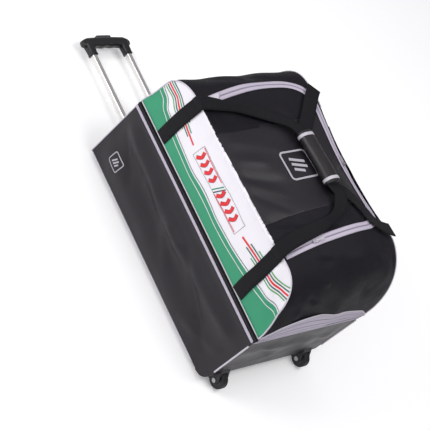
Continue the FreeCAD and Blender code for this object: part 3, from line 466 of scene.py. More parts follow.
def over_the_top(s, t):
    """The strip of cloth from the pull handle's end over the top to the wheel end.

    s runs from 0 to 1 along it, and t from -1, the near side, to 1, the far side.
    """
    n, f = through(NEAR_OUTLINE, s), through(FAR_OUTLINE, s)
    near = Vector((n.x, near_side_y(n.x, n.y), n.y))
    far = Vector((f.x, far_side_y(f.x, f.y), f.y))
    share = (t + 1) / 2
    here = near.lerp(far, share)
    step = 0.012
    before = through(NEAR_OUTLINE, s - step).lerp(through(FAR_OUTLINE, s - step), share)
    after = through(NEAR_OUTLINE, s + step).lerp(through(FAR_OUTLINE, s + step), share)
    along = (after - before).normalized()
    out = Vector((-along.y, 0, along.x))
    dome = max(0.0, 1 - t * t) ** 0.85
    rise = level(SWELL, s) * dome
    fade = min(1.0, (1 - t * t) * 4)
    rise += fold_height(here + out * rise, FOLDS) * fade
    rise += ripple(here, 0.11, 0.006) * fade
    return here + out * rise


def coons(a, b, left, right, bottom, top):
    """Fills between four edge curves."""
    corner = (1 - a) * (1 - b) * bottom(0) + a * (1 - b) * bottom(1) + (1 - a) * b * top(0) + a * b * top(1)
    return (1 - a) * left(b) + a * right(b) + (1 - b) * bottom(a) + b * top(a) - corner


def side_panel(outline, side_y, bulge_folds):
    """One side of the upper half: flat between its four edges, then laid on the side's own surface."""

    def place(u, v):
        b = math.sin(v * math.pi / 2)
        flat = coons(
            u, b,
            lambda k: through(outline, k * TOP_FROM),
            lambda k: through(outline, 1 - k * (1 - TOP_TO)),
            lambda k: through(outline, 0).lerp(through(outline, 1), k),
            lambda k: through(outline, TOP_FROM + k * (TOP_TO - TOP_FROM)),
        )
        here = Vector((flat.x, side_y(flat.x, flat.y), flat.y))
        if bulge_folds:
            here.y += fold_height(here, bulge_folds) * math.sin(math.pi * v) * math.sin(math.pi * u)
        return here

    return face_out(patch(110, 44, place, (0.76, 0.2)), INSIDE)


near_panel = side_panel(NEAR_OUTLINE, near_side_y, None)
far_panel = side_panel(FAR_OUTLINE, far_side_y, FOLDS)
strip = face_out(patch(230, 100, lambda u, v: over_the_top(u, v * 2 - 1), (1.1, 0.44)), INSIDE)
SKIN_TOP = BVHTree.FromBMesh(strip)
whole = strip.copy()
for side in (near_panel, far_panel):
    mesh = bpy.data.meshes.new("side")
    side.to_mesh(mesh)
    whole.from_mesh(mesh)
    bpy.data.meshes.remove(mesh)
SKIN = BVHTree.FromBMesh(whole)
whole.free()


def on_top(x, y, lift=0.0):
    """The point of the top cloth above (x, y), and its outward direction."""
    hit, normal, _, _ = SKIN_TOP.ray_cast(Vector((x, y, 0.9)), Vector((0, 0, -1)))
    if hit is None:
        hit, normal, _, _ = SKIN_TOP.find_nearest(Vector((x, y, 0.47)))
    if normal.z < 0:
        normal = -normal
    return hit + normal * lift, normal


def on_print(x, z, lift=0.0):
    """The point of the printed side at (x, z), lifted off it."""
    return Vector((x, near_side_y(x, z) - lift, z))


# The lid is cut out of the strip along its zip line: the cloth is split along the line, then sorted by side.
lid_path = even_points(LID_LINE, 64)
lid_loop = [Vector((p.x, p.y)) for p in lid_path]
# every face of the lid lies higher than this, and the sides' faces beneath the zip line don't count
LID_FLOOR = 0.40
for a, b in zip(lid_path, lid_path[1:]):
    middle = (a + b) / 2
    across = Vector((-(b - a).y, (b - a).x, 0)).normalized()
    reach = (b - a).length * 0.5 + 0.018
    faces = [
        f for f in strip.faces
        if f.calc_center_median().z > LID_FLOOR and (f.calc_center_median().xy - middle.xy).length < reach
    ]
    linked = list({e for f in faces for e in f.edges}) + list({v for f in faces for v in f.verts}) + faces
    bmesh.ops.bisect_plane(strip, geom=linked, plane_co=Vector((a.x, a.y, 0)), plane_no=across)


def within(point, loop):
    """Whether a point lies inside a closed loop, both seen from above."""
    inside = False
    for p, q in zip(loop, loop[1:] + loop[:1]):
        if (p.y > point.y) != (q.y > point.y) and point.x < (q.x - p.x) * (point.y - p.y) / (q.y - p.y) + p.x:
            inside = not inside
    return inside


LID_MOUTH_Y = -0.30
lid_loop = [Vector((LID_LINE[0][0], LID_MOUTH_Y))] + lid_loop + [Vector((LID_LINE[-1][0], LID_MOUTH_Y))]
lid_cloth = strip.copy()


def is_lid(face):
    centre = face.calc_center_median()
    return centre.z > LID_FLOOR and within(centre.xy, lid_loop)


bmesh.ops.delete(strip, geom=[f for f in strip.faces if is_lid(f)], context="FACES")
bmesh.ops.delete(lid_cloth, geom=[f for f in lid_cloth.faces if not is_lid(f)], context="FACES")

CENTRE_SEAMS = (-0.161, 0.133)
centre_cloth = lid_cloth.copy()
for seam in CENTRE_SEAMS:
    for bm in (centre_cloth, lid_cloth):
        geom = bm.verts[:] + bm.edges[:] + bm.faces[:]
        bmesh.ops.bisect_plane(bm, geom=geom, plane_co=Vector((seam, 0, 0)), plane_no=Vector((1, 0, 0)))


def in_middle(face):
    return CENTRE_SEAMS[0] < face.calc_center_median().x < CENTRE_SEAMS[1]


bmesh.ops.delete(centre_cloth, geom=[f for f in centre_cloth.faces if not in_middle(f)], context="FACES")
bmesh.ops.delete(lid_cloth, geom=[f for f in lid_cloth.faces if in_middle(f)], context="FACES")

CLOTH = 0.0022


def cloth_piece(name, bm, finish, body, slot, *nodes):
    """A cloth panel with its thickness, in the place of its CAD nodes."""
    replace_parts(thicken(finish_piece(name, bm, finish, body), CLOTH), *nodes)


cloth_piece("printed_near_side", near_panel, printed, "upper_body", "printed_fabric", "near_side_panel")
cloth_piece("plain_far_side", far_panel, nylon, "upper_body", "nylon_fabric", "far_side_panel")
cloth_piece(
    "upper_shell_cloth", strip, nylon, "upper_body", "nylon_fabric",
    "upper_handle_end_panel", "upper_wheel_end_panel", "top_border",
)
cloth_piece("lid_end_cloth", lid_cloth, nylon, "lid", "nylon_fabric", "lid_handle_end_panel", "lid_wheel_end_panel")
cloth_piece("lid_centre_cloth", centre_cloth, coated, "lid", "coated_fabric", "lid_centre_panel")


# --- the lower half's cloth ------------------------------------------------------------------------------------
LOWER_TOP = ZIP_Z - 0.0100
# below this height the ends lie on the trolley's fittings and the kick plate, and bulge less
STIFF_TO = 0.095


def kick_shift(z):
    """How far the rounded lower corner moves the wheel end at a height: 0 above it, and negative within it."""
    if z >= BASE_Z + KICK_RADIUS:
        return 0.0
    return math.sqrt(max(0.0, KICK_RADIUS**2 - (BASE_Z + KICK_RADIUS - z) ** 2)) - KICK_RADIUS


def lower_side(sign):
    """A long side of the lower box: -1 near, 1 far."""

    def place(u, v):
        z = BASE_Z + (LOWER_TOP - BASE_Z) * v
        wheel_x = HALF_LENGTH + kick_shift(z)
        x = -HALF_LENGTH + (wheel_x + HALF_LENGTH) * u
        edge = min(1.0, 10 * u * (1 - u)) * min(1.0, 5 * v * (1 - v)) ** 0.7
        here = Vector((x, sign * HALF_WIDTH, z))
        out = 0.004 * edge + fold_height(here, LOWER_FOLDS) * edge + ripple(here, 0.09, 0.003) * edge
        roll = 0.005 * max(0.0, 1 - v * 40) ** 2
        return here + Vector((0, sign * (out - roll), 0))

    return place


def lower_end(sign):
    """An end of the lower box: -1 the pull handle's, 1 the wheels'."""

    def place(u, v):
        z = BASE_Z + (LOWER_TOP - BASE_Z) * v
        y = -HALF_WIDTH + 2 * HALF_WIDTH * u
        x = HALF_LENGTH + (kick_shift(z) if sign > 0 else 0.0)
        edge = min(1.0, 8 * u * (1 - u)) * min(1.0, 5 * v * (1 - v)) ** 0.7
        if z < STIFF_TO:
            edge *= 0.15 if sign < 0 else 0.4
        here = Vector((sign * x, y, z))
        out = 0.003 * edge + fold_height(here, LOWER_FOLDS) * edge + ripple(here, 0.08, 0.003) * edge
        return here + Vector((sign * out, 0, 0))

    return place


LOWER_PIECES = [
    ("lower_near_cloth", lower_side(-1), 180, 64, "lower_near_panel"),
    ("lower_far_cloth", lower_side(1), 120, 44, "lower_far_panel"),
    ("lower_wheel_end_cloth", lower_end(1), 90, 50, "lower_wheel_end_panel"),
    ("lower_handle_end_cloth", lower_end(-1), 90, 50, "lower_handle_end_panel"),
]
for name, place, nu, nv, node in LOWER_PIECES:
    bm = face_out(patch(nu, nv, place, (0.7, 0.24)), INSIDE)
    cloth_piece(name, bm, coated, "lower_body", "coated_fabric", node)


# --- piping, zips and the end gusset ---------------------------------------------------------------------------
def outline_path(outline, side_y, start, end, count, out):
    """Points along an outline from start to end, set out from the side by a distance."""
    points = []
    for k in range(count):
        p = through(outline, start + (end - start) * k / (count - 1))
        y = side_y(p.x, p.y)
        points.append(Vector((p.x, y + math.copysign(out, y), p.y)))
    return points


PIPE = 0.0021
# the height at which the printed side's colours start, just over its foot piping
PRINT_FOOT = 0.2818
for name, outline, side_y in (("near", NEAR_OUTLINE, near_side_y), ("far", FAR_OUTLINE, far_side_y)):
    handle_run = outline_path(outline, side_y, 0.0, TOP_FROM + 0.02, 60, 0.0008)
    wheel_run = outline_path(outline, side_y, TOP_TO - 0.02, 1.0, 70, 0.0008)
    rope(f"{name}_piping_handle_end", handle_run, PIPE, piping, "upper_body")
    rope(f"{name}_piping_wheel_end", wheel_run, PIPE, piping, "upper_body")
    foot_y = math.copysign(HALF_WIDTH + 0.0012, side_y(0, 0.3))
    foot = [Vector((-0.379 + 0.758 * k / 50, foot_y, PRINT_FOOT - 0.0006)) for k in range(51)]
    rope(f"{name}_piping_foot", foot, 0.0017, piping, "upper_body")

# the printed cloth turned over its top edge, which the lid hinges on
BINDING = 0.0030
hinge_edge = outline_path(NEAR_OUTLINE, near_side_y, TOP_FROM, TOP_TO, 140, -BINDING)
hinge_edge = [p + Vector((0, 0, 0.0004)) for p in hinge_edge]
rope("near_top_edge_binding", hinge_edge, BINDING, printed, "upper_body")
for name, y in (("near", -HALF_WIDTH), ("far", HALF_WIDTH)):
    post_foot = BASE_Z + 0.004
    post = [Vector((-HALF_LENGTH - 0.0003, y, post_foot + (LOWER_TOP - post_foot) * k / 20)) for k in range(21)]
    rope(f"{name}_handle_corner_piping", post, 0.0019, piping, "lower_body")
    sill = [Vector((-HALF_LENGTH + 0.70 * k / 40, y * 1.0008, BASE_Z + 0.002)) for k in range(41)]
    rope(f"{name}_base_piping", sill, 0.0019, piping, "lower_body")
    corner = [Vector((HALF_LENGTH + 0.0005, y, 0.078 + 0.158 * k / 24)) for k in range(25)]
    rope(f"{name}_wheel_corner_piping", corner, 0.0026, piping, "lower_body")


CORNER_CUT = 0.004


def round_the_box(z, out):
    """Path from the handle end along the near side, round the wheel end and back along the far side."""
    points, outward = [], []
    w, l = HALF_WIDTH + out, HALF_LENGTH + out
    for k in range(150):
        x = -HALF_LENGTH + (l - CORNER_CUT + HALF_LENGTH) * k / 149
        points.append(Vector((x, -w, z)))
        outward.append(Vector((0, -1, 0)))
    for k in range(1, 90):
        y = -w + CORNER_CUT + (2 * w - 2 * CORNER_CUT) * k / 90
        points.append(Vector((l, y, z)))
        outward.append(Vector((1, 0, 0)))
    for k in range(150):
        x = l - CORNER_CUT - (l - CORNER_CUT + HALF_LENGTH) * k / 149
        points.append(Vector((x, w, z)))
        outward.append(Vector((0, 1, 0)))
    return points, outward


# The pale band along the lower box's top edge, bowed outwards: both sides and the wheel end.
BAND_HALF = 0.0052
BAND_BOW = 0.0020
path, outward = round_the_box(LOWER_TOP - 0.0030, 0.0008)


def edge_band_place(u, v):
    k = step_at(u, len(path))
    side = 2 * v - 1
    return path[k] + Vector((0, 0, BAND_HALF * side)) + outward[k] * BAND_BOW * (1 - side * side)


band = face_out(patch(len(path) - 1, 4, edge_band_place, (0.004 * len(path), 2 * BAND_HALF)), INSIDE)
thicken(finish_piece("box_edge_band", band, pale_tape, "lower_body"), 0.0012, 0.0)


def teeth_row(name, path, normals, spacing, size, finish, body, shift):
    """Moulded teeth: small blocks at an even pitch along the path."""
    bm = bmesh.new()
    run, k = 0.0, 0
    lengths = [0.0]
    for a, b in zip(path, path[1:]):
        lengths.append(lengths[-1] + (b - a).length)
    while run < lengths[-1]:
        while lengths[k + 1] < run:
            k += 1
        share = (run - lengths[k]) / max(lengths[k + 1] - lengths[k], 1e-9)
        spot = path[k].lerp(path[k + 1], share)
        along = (path[k + 1] - path[k]).normalized()
        up = normals[k]
        side = along.cross(up).normalized()
        up = side.cross(along).normalized()
        turn = Matrix((along, side, up)).transposed().to_4x4()
        scale = Matrix.Diagonal((*size, 1.0))
        bmesh.ops.create_cube(bm, size=1.0, matrix=Matrix.Translation(spot + side * shift) @ turn @ scale)
        run += spacing
    return finish_piece(name, bm, finish, body, smooth=False)


BOX_TEETH = {"spacing": 0.0034, "size": (0.0019, 0.0024, 0.0016), "finish": teeth_black}
for name, z, body in (("lower", ZIP_Z - 0.0012, "lower_body"), ("upper", ZIP_Z + 0.0016, "upper_body")):
    teeth_row(f"{name}_zip_teeth", *round_the_box(z, 0.0018), body=body, shift=0.0, **BOX_TEETH)

# Pleated gusset over the zip at the wheel end: straight below, arched above, with parallel stitched tucks.
GUSSET_TOP = [0.283, 0.328, 0.352, 0.364, 0.366, 0.362, 0.353, 0.343, 0.331, 0.313, 0.283]
GUSSET_FOOT = 0.2715
GUSSET_HALF = 0.227
TUCKS = 4
TUCK_DEPTH = 0.0016
# the upper cloth starts here, so lower points of the gusset take its place from this height
SKIN_FOOT = 0.2815


def gusset_place(u, v):
    y = -GUSSET_HALF + 2 * GUSSET_HALF * u
    z = GUSSET_FOOT + (level(GUSSET_TOP, u) - GUSSET_FOOT) * v
    hit, _, _, _ = SKIN.ray_cast(Vector((0.8, y, max(z, SKIN_FOOT))), Vector((-1, 0, 0)))
    x = max(hit.x if hit else HALF_LENGTH, HALF_LENGTH)
    tucks = TUCK_DEPTH * (1 - abs(2 * ((v * TUCKS) % 1) - 1)) ** 0.5
    return Vector((x + 0.0015 + tucks + 0.002 * (1 - v), y, z))


gusset = face_out(patch(90, 32, gusset_place, (0.45, 0.1)), INSIDE)
thicken(finish_piece("wheel_end_gusset", gusset, pale_tape, "upper_body"), 0.001)
rim = [gusset_place(k / 80, 1.0) for k in range(81)]
rope("gusset_rim", rim, 0.0016, piping, "upper_body")
# dark thread in each tuck's crease: the stitching, and painted shade in the crease
for k in range(1, TUCKS):
    crease_line = [gusset_place(0.03 + 0.94 * j / 80, k / TUCKS) + Vector((0.0001, 0, 0)) for j in range(81)]
    rope(f"gusset_tuck_seam_and_crease_shade_{k}", crease_line, 0.0009, tuck_thread_and_crease_shade, "upper_body")


zip_line = [Vector((p.x, p.y, 0)) for p in even_points(LID_LINE, 260)]
TAPE_LIFT = 0.0014
TAPE_BULGE = 0.0006


def zip_tape(name, inner, outer, body, node):
    """A tape laid on the top cloth beside the lid's zip line, from inner to outer metres off the line."""
    count = len(zip_line)

    def place(u, v):
        k = step_at(u, count)
        along = heading(zip_line, k)
        spot = zip_line[k] + Vector((-along.y, along.x, 0)) * (inner + (outer - inner) * v)
        return on_top(spot.x, spot.y, TAPE_LIFT + TAPE_BULGE * math.sin(math.pi * v))[0]

    bm = face_out(patch(count - 1, 3, place, (0.006 * count, abs(outer - inner))), INSIDE)
    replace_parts(thicken(finish_piece(name, bm, pale_tape, body), 0.0008, 0.0), node)


zip_tape("lid_zip_tape_inner", -0.0010, -0.0125, "lid", "lid_zip_inner_tape")
zip_tape("lid_zip_tape_outer", 0.0010, 0.0130, "upper_body", "lid_zip_outer_tape")
chain, ups = zip(*[on_top(p.x, p.y, 0.0012) for p in zip_line])
LID_TEETH = {"spacing": 0.0026, "size": (0.0014, 0.0020, 0.0015), "finish": teeth_pale}
teeth_row("lid_zip_teeth_inner", chain, ups, body="lid", shift=0.0011, **LID_TEETH)
teeth_row("lid_zip_teeth_outer", chain, ups, body="upper_body", shift=-0.0011, **LID_TEETH)


def end_tab_place(u, v):
    """Folded triangular tab over the zip's handle end."""
    across = (v - 0.5) * (1 - 0.85 * u)
    x = -0.2679 - 0.0013 * u + across * 0.0288
    y = -0.1338 - 0.0508 * u - across * 0.0176
    return on_top(x, y, 0.0034)[0]


tab = face_out(patch(10, 8, end_tab_place, (0.04, 0.03)), INSIDE)
thicken(finish_piece("zip_end_tab", tab, piping, "upper_body"), 0.0012, 0.0)


# --- the print on the near side --------------------------------------------------------------------------------
def lookup(points, x):
    """Smooth height over x through a few (x, z) points."""
    if x <= points[0][0]:
        return points[0][1]
    for k in range(len(points) - 1):
        (x0, z0), (x1, z1) = points[k], points[k + 1]
        if x <= x1:
            before = points[max(k - 1, 0)]
            after = points[min(k + 2, len(points) - 1)]
            m0 = (z1 - before[1]) / (x1 - before[0])
            m1 = (after[1] - z0) / (after[0] - x0)
            f = (x - x0) / (x1 - x0)
            h = x1 - x0
            return (
                (2 * f**3 - 3 * f**2 + 1) * z0 + (f**3 - 2 * f**2 + f) * h * m0
                + (3 * f**2 - 2 * f**3) * z1 + (f**3 - f**2) * h * m1
            )
    return points[-1][1]


def outline_x(z, sign):
    """Where the printed side ends at a height: the handle end for -1, the wheel end for 1."""
    for k in range(161):
        s = k / 160 * TOP_FROM if sign < 0 else 1 - k / 160 * (1 - TOP_TO)
        p = through(NEAR_OUTLINE, s)
        if p.y >= z:
            return p.x
    return sign * 0.25


PIN = [
    (-0.380, 0.352), (-0.340, 0.343), (-0.300, 0.331), (-0.260, 0.324), (-0.200, 0.318), (-0.120, 0.315),
    (-0.060, 0.319), (0.000, 0.319), (0.050, 0.316), (0.115, 0.319), (0.167, 0.325), (0.209, 0.330),
    (0.257, 0.337), (0.300, 0.345), (0.360, 0.360),
]
EDGE = 0.0022
# how far the inks stand off the cloth, so that none of it shows through
INK_LIFT = 0.0006


def print_band(name, low, high, colour):
    """A printed band from outline to outline between two heights over x."""

    def place(u, v):
        x = -0.378 + 0.756 * u
        z = low(x) + (high(x) - low(x)) * v
        left, right = outline_x(z, -1) + EDGE, outline_x(z, 1) - EDGE
        return on_print(left + (right - left) * u, z, INK_LIFT)

    bm = face_out(patch(120, 4, place, (0.7, 0.03)), INSIDE)
    return finish_piece(name, bm, colour, "upper_body")




def pin(x):
    """The height of the white pin line between the two green bands."""
    return lookup(PIN, x)


print_band("print_green_band", lambda x: PRINT_FOOT, lambda x: pin(x) - 0.0013, INK_GREEN)
print_band("print_green_band_upper", lambda x: pin(x) + 0.0013, lambda x: pin(x) + 0.0135, INK_GREEN)
print_band("print_dark_line", lambda x: pin(x) + 0.0178, lambda x: pin(x) + 0.0198, INK_DARK_GREEN)


def print_stripe(name, points, width, colour, lift=INK_LIFT, count=40):
    """A printed line through (x, z) points on the near side."""
    line = even_points([(x, z, 0) for x, z in points], count)

    def place(u, v):
        k = step_at(u, count)
        along = heading(line, k)
        spot = line[k] + Vector((-along.y, along.x, 0)) * width * (v - 0.5)
        return on_print(spot.x, spot.y, lift)

    bm = face_out(patch(count - 1, 1, place, (0.2, width)), INSIDE)
    return finish_piece(name, bm, colour, "upper_body")


LEFT_RED = [(-0.366, 0.391), (-0.329, 0.391), (-0.284, 0.386), (-0.238, 0.381), (-0.207, 0.377), (-0.172, 0.373)]
RIGHT_RED = [(0.124, 0.384), (0.165, 0.390), (0.205, 0.394), (0.250, 0.399), (0.288, 0.407), (0.334, 0.425)]


def end_stripes(side, red, cut, offsets):
    """The red stripe and two on either side of it, each cut off at the outline and at its own inner limit."""
    for offset, limit, colour, width in offsets:
        points = []
        for x, z in red:
            height = z + offset
            edge = outline_x(height, cut) - cut * EDGE
            x = max(x, edge) if cut < 0 else min(x, edge)
            if cut < 0 and x > limit or cut > 0 and x < limit:
                x = limit
                height = lookup(red, limit) + offset
            if not points or abs(points[-1][0] - x) > 1e-4:
                points.append((x, height))
        tag = f"{side}_{'above' if offset > 0 else 'below' if offset < 0 else 'middle'}_{abs(round(offset * 1000))}"
        print_stripe(f"print_stripe_{tag}", points, width, colour)


end_stripes("handle_end", LEFT_RED, -1, [
    (0.0150, -0.232, INK_DARK_GREEN, 0.0034), (0.0078, -0.204, INK_GREEN, 0.0034), (0.0, -0.172, INK_RED, 0.0050),
    (-0.0074, -0.203, INK_DARK_GREEN, 0.0036), (-0.0145, -0.230, INK_LIGHT_GREEN, 0.0030),
])
end_stripes("wheel_end", RIGHT_RED, 1, [
    (0.0170, 0.183, INK_LIGHT_GREEN, 0.0034), (0.0088, 0.154, INK_DARK_GREEN, 0.0038), (0.0, 0.124, INK_RED, 0.0056),
    (-0.0088, 0.154, INK_DARK_GREEN, 0.0038), (-0.0170, 0.185, INK_LIGHT_GREEN, 0.0034),
])
# A plain geometric emblem in an outlined box: slanted bars between two rules.
BOX = [(-0.151, 0.358), (-0.151, 0.401), (0.103, 0.407), (0.105, 0.364)]
for k in range(4):
    a, b = BOX[k], BOX[(k + 1) % 4]
    print_stripe(f"print_box_side_{k + 1}", [a, b], 0.0010, INK_CHARCOAL, count=24)
for k in range(8):
    x = -0.1395 + 0.0250 * k + (0.0245 if k > 3 else 0.0)
    z = 0.3640 + 0.0235 * (x + 0.151)
    chevron = [(x, z), (x + 0.0105, z + 0.0145), (x + 0.0035, z + 0.029)]
    print_stripe(f"print_chevron_edge_{k + 1}", chevron, 0.0112, INK_CHARCOAL, 0.0005, 16)
    print_stripe(f"print_chevron_{k + 1}", chevron, 0.0092, INK_RED, 0.0008, 16)
for k in range(2):
    x = -0.0370 + 0.0090 * k
    slash = [(x, 0.3620), (x + 0.016, 0.4010)]
    print_stripe(f"print_slash_{k + 1}", slash, 0.0034, (INK_GREEN, INK_CHARCOAL)[k], count=8)
print_stripe("print_rule_upper", [(-0.147, 0.3980), (-0.034, 0.4005)], 0.0022, INK_RED, count=20)
print_stripe("print_rule_lower", [(-0.022, 0.3632), (0.100, 0.3672)], 0.0022, INK_RED, count=20)


# --- badges ----------------------------------------------------------------------------------------------------
def badge_line(name, points, width, place_on, body, closed=False):
    """A printed line of a badge. place_on turns badge coordinates into a point on the cloth."""
    loop = points + points[:1] if closed else points
    fine = []
    for a, b in zip(loop, loop[1:]):
        steps = max(2, int((Vector(b) - Vector(a)).length / 0.003))
        fine += [Vector(a).lerp(Vector(b), k / steps) for k in range(steps)]
    if not closed:
        fine.append(Vector(loop[-1]))
    count = len(fine)

    def place(u, v):
        k = int(round(u * (count if closed else count - 1)))
        ahead = fine[(k + 1) % count] if closed or k + 1 < count else fine[-1]
        behind = fine[(k - 1) % count] if closed or k > 0 else fine[0]
        along = (ahead - behind).normalized()
        spot = fine[k % count] + Vector((-along.y, along.x)) * width * (v - 0.5)
        return place_on(spot.x, spot.y)

    bm = patch(count if closed else count - 1, 1, place, (0.2, width), weld=closed)
    return finish_piece(name, face_out(bm, INSIDE), silver_print, body)


def rounded_box(half_w, half_h, corner):
    points = []
    for k in range(4):
        cx = (half_w - corner) * (1 if k in (0, 3) else -1)
        cy = (half_h - corner) * (1 if k in (0, 1) else -1)
        for j in range(7):
            turn = math.pi / 2 * (k + j / 6)
            points.append((cx + corner * math.cos(turn), cy + corner * math.sin(turn)))
    return points


def badge(name, half_w, half_h, place_on, body, node):
    """Three slanted bars in a rounded frame."""
    outline = rounded_box(half_w, half_h, half_w * 0.24)
    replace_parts(badge_line(f"{name}_frame", outline, half_w * 0.13, place_on, body, closed=True), node)
    for k, (foot_x, head_x, head_y) in enumerate(((-0.48, -0.14, 0.52), (-0.10, 0.24, 0.52), (0.28, 0.52, 0.20))):
        bar = [(half_w * foot_x, -half_h * 0.52), (half_w * head_x, half_h * head_y)]
        badge_line(f"{name}_bar_{k + 1}", bar, half_w * 0.2, place_on, body)


badge("lid_badge", 0.044, 0.047, lambda a, b: on_top(-0.011 + a, -0.014 + b, 0.0007)[0], "lid", "lid_badge")


NEAR_LOWER = BVHTree.FromObject(bpy.data.objects["lower_near_cloth"], bpy.context.evaluated_depsgraph_get())


def on_lower(a, b):
    hit, _, _, _ = NEAR_LOWER.ray_cast(Vector((-0.293 + a, -0.4, 0.091 + b)), Vector((0, 1, 0)))
    return hit - Vector((0, 0.0007, 0))


badge("side_badge", 0.0245, 0.0200, on_lower, "lower_body", "side_badge")


# --- webbing, handles and the padded wrap ----------------------------------------------------------------------
def even_share(points, ups, path):
    """The outward direction at each path point, blended between the nearest two stations."""
    out = []
    for p in path:
        near = sorted(range(len(points)), key=lambda i: (points[i] - p).length)[:2]
        weight = [1 / ((points[i] - p).length + 0.002) for i in near]
        out.append((ups[near[0]] * weight[0] + ups[near[1]] * weight[1]).normalized())
    spans = [out[max(0, k - 4) : k + 5] for k in range(len(out))]
    return [sum(span, Vector((0, 0, 0))).normalized() for span in spans]


WEB = 0.044
WEB_THICK = 0.0026


def strap(name, stations, body, count, narrow=None):
    """Flat webbing through (point, outward direction) stations. narrow(u) is the share of its width shown there."""
    points, ups = zip(*stations)
    path = even_points(points, count)
    fine_ups = even_share(points, ups, path)

    def place(u, v):
        k = step_at(u, count)
        side = heading(path, k).cross(fine_ups[k]).normalized()
        wide = WEB * (narrow(u) if narrow else 1.0)
        return path[k] + side * wide * (v - 0.5)

    run = sum((b - a).length for a, b in zip(path, path[1:]))
    bm = patch(count - 1, 4, place, (run, WEB))
    return thicken(finish_piece(name, bm, webbing, body), WEB_THICK, 0.0)


def side_station(x, z, lift):
    """A point of webbing that lies on the printed side, and its outward direction."""
    return on_print(x, z, lift), Vector((0, -1, 0.13)).normalized()


near_legs = []
for tag, (foot_x, mid_x, top_x), top_z in (
    ("handle", (-0.253, -0.257, -0.259), 0.440), ("wheel", (0.243, 0.231, 0.219), 0.452),
):
    leg = [side_station(foot_x, 0.2845, 0.002), side_station(foot_x * 0.5 + mid_x * 0.5, 0.330, 0.003)]
    leg += [side_station(mid_x, 0.385, 0.003), side_station(top_x, top_z, 0.003)]
    near_legs.append(strap(f"near_sewn_leg_{tag}", leg, "upper_body", 50))
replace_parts(near_legs[0], "near_webbing_legs")


def span_station(x, y, z):
    """A point of a strap that hangs free between the bag's edge and the wrap."""
    return Vector((x, y, z)), (on_top(x, y)[1] * 0.6 + Vector((0, 0, 0.4))).normalized()


handle_a = [side_station(-0.259, 0.437, 0.0048), (Vector((-0.2590, -0.2100, 0.4540)), Vector((0, -0.8, 0.6)))]
handle_a += [span_station(*spot) for spot in (
    (-0.2530, -0.194, 0.4590), (-0.2410, -0.150, 0.4625), (-0.2270, -0.106, 0.4675), (-0.2080, -0.048, 0.4740),
    (-0.1840, -0.002, 0.4815), (-0.1540, 0.034, 0.4960), (-0.1240, 0.045, 0.5110), (-0.1000, 0.045, 0.5190),
    (-0.0800, 0.044, 0.5215),
)]
handle_b = [side_station(0.219, 0.449, 0.0048), (Vector((0.2165, -0.2090, 0.4680)), Vector((0, -0.8, 0.6)))]
handle_b += [span_station(*spot) for spot in (
    (0.2100, -0.195, 0.4830), (0.2000, -0.146, 0.5050), (0.1885, -0.075, 0.5240), (0.1730, -0.024, 0.5370),
    (0.1500, 0.016, 0.5400), (0.1150, 0.046, 0.5370), (0.0860, 0.042, 0.5355), (0.0660, 0.038, 0.5350),
)]


def twist(depth, at, reach):
    """Webbing that turns partly on edge: it loses the given share of its width about one point of its length."""
    return lambda u: 1 - depth * math.exp(-(((u - at) / reach) ** 2))


near_a = strap("near_handle_webbing_handle_side", handle_a, "near_handle", 110, twist(0.36, 0.34, 0.15))
strap("near_handle_webbing_wheel_side", handle_b, "near_handle", 110, twist(0.45, 0.60, 0.13))
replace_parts(near_a, "near_handle_webbing")

# the wrap's two ends seen from above, and how high its middle lies over the lid
GRIP_A, GRIP_B = (-0.098, 0.0500), (0.0755, 0.0430)
GRIP_LIFT = 0.0205
WRAP_SIDES = 36
FLAP_FROM, FLAP_TO, FLAP_RISE = 0.10, 0.22, 0.0012


def wrap_tube(name, start, end, half_width, half_thick, finish, puff, nu=60):
    """A flattened padded tube along the handle's middle, with a raised flap edge along its top."""

    def place(u, v):
        share = start + (end - start) * u
        x = GRIP_A[0] + (GRIP_B[0] - GRIP_A[0]) * share
        y = GRIP_A[1] + (GRIP_B[1] - GRIP_A[1]) * share
        middle, up = on_top(x, y, 0.0)
        middle = middle + Vector((0, 0, GRIP_LIFT))
        up = (up * 0.4 + Vector((0, 0, 0.6))).normalized()
        side = Vector((1, 0.03, 0)).cross(up).normalized()
        turn = 2 * math.pi * v
        c, s = math.cos(turn), math.sin(turn)
        round_off = soft_square(c, s, 2.2)
        swell = 1 + puff * math.sin(math.pi * u) ** 0.5
        flap = FLAP_RISE if FLAP_FROM < v < FLAP_TO else 0.0
        wave = 0.0008 * noise.noise(Vector((x * 60, c * 1.5, s * 1.5)))
        return middle + side * c * round_off * half_width + up * s * round_off * (half_thick * swell + flap + wave)

    bm = patch(nu, WRAP_SIDES, place, (0.15, 0.16), weld=True)
    return finish_piece(name, close_ends(bm, WRAP_SIDES), finish, "near_handle")


wrap = wrap_tube("padded_grip_wrap", 0.0, 1.0, 0.0268, 0.0160, leather, 0.08)
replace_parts(wrap, "grip_wrap")
grip_bands = [
    wrap_tube(f"grip_band_{end}_end", start, start + 0.055, 0.0280, 0.0180, reflective, 0.02, 6)
    for end, start in (("handle", 0.045), ("wheel", 0.900))
]
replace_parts(grip_bands[0], "grip_bands")

# The far handle's route over the lid and beneath the wrap, as (x, y, lift off the cloth).
FAR_PATH = [
    (-0.242, 0.198, 0.014), (-0.228, 0.183, 0.011), (-0.199, 0.158, 0.008), (-0.163, 0.130, 0.007),
    (-0.128, 0.096, 0.006), (-0.102, 0.064, 0.003), (-0.070, 0.048, 0.0014), (0.000, 0.043, 0.0014),
    (0.055, 0.043, 0.0014), (0.080, 0.060, 0.003), (0.100, 0.088, 0.007), (0.128, 0.110, 0.009),
    (0.162, 0.122, 0.009), (0.193, 0.126, 0.009), (0.218, 0.138, 0.010), (0.234, 0.162, 0.012),
    (0.240, 0.190, 0.014),
]


def far_bunch(u):
    """Full width outside the wrap, and half of it where the webbing lies bunched beneath."""
    return 0.5 + 0.5 * min(1.0, max(0.0, abs(u - 0.46) - 0.11) / 0.10)


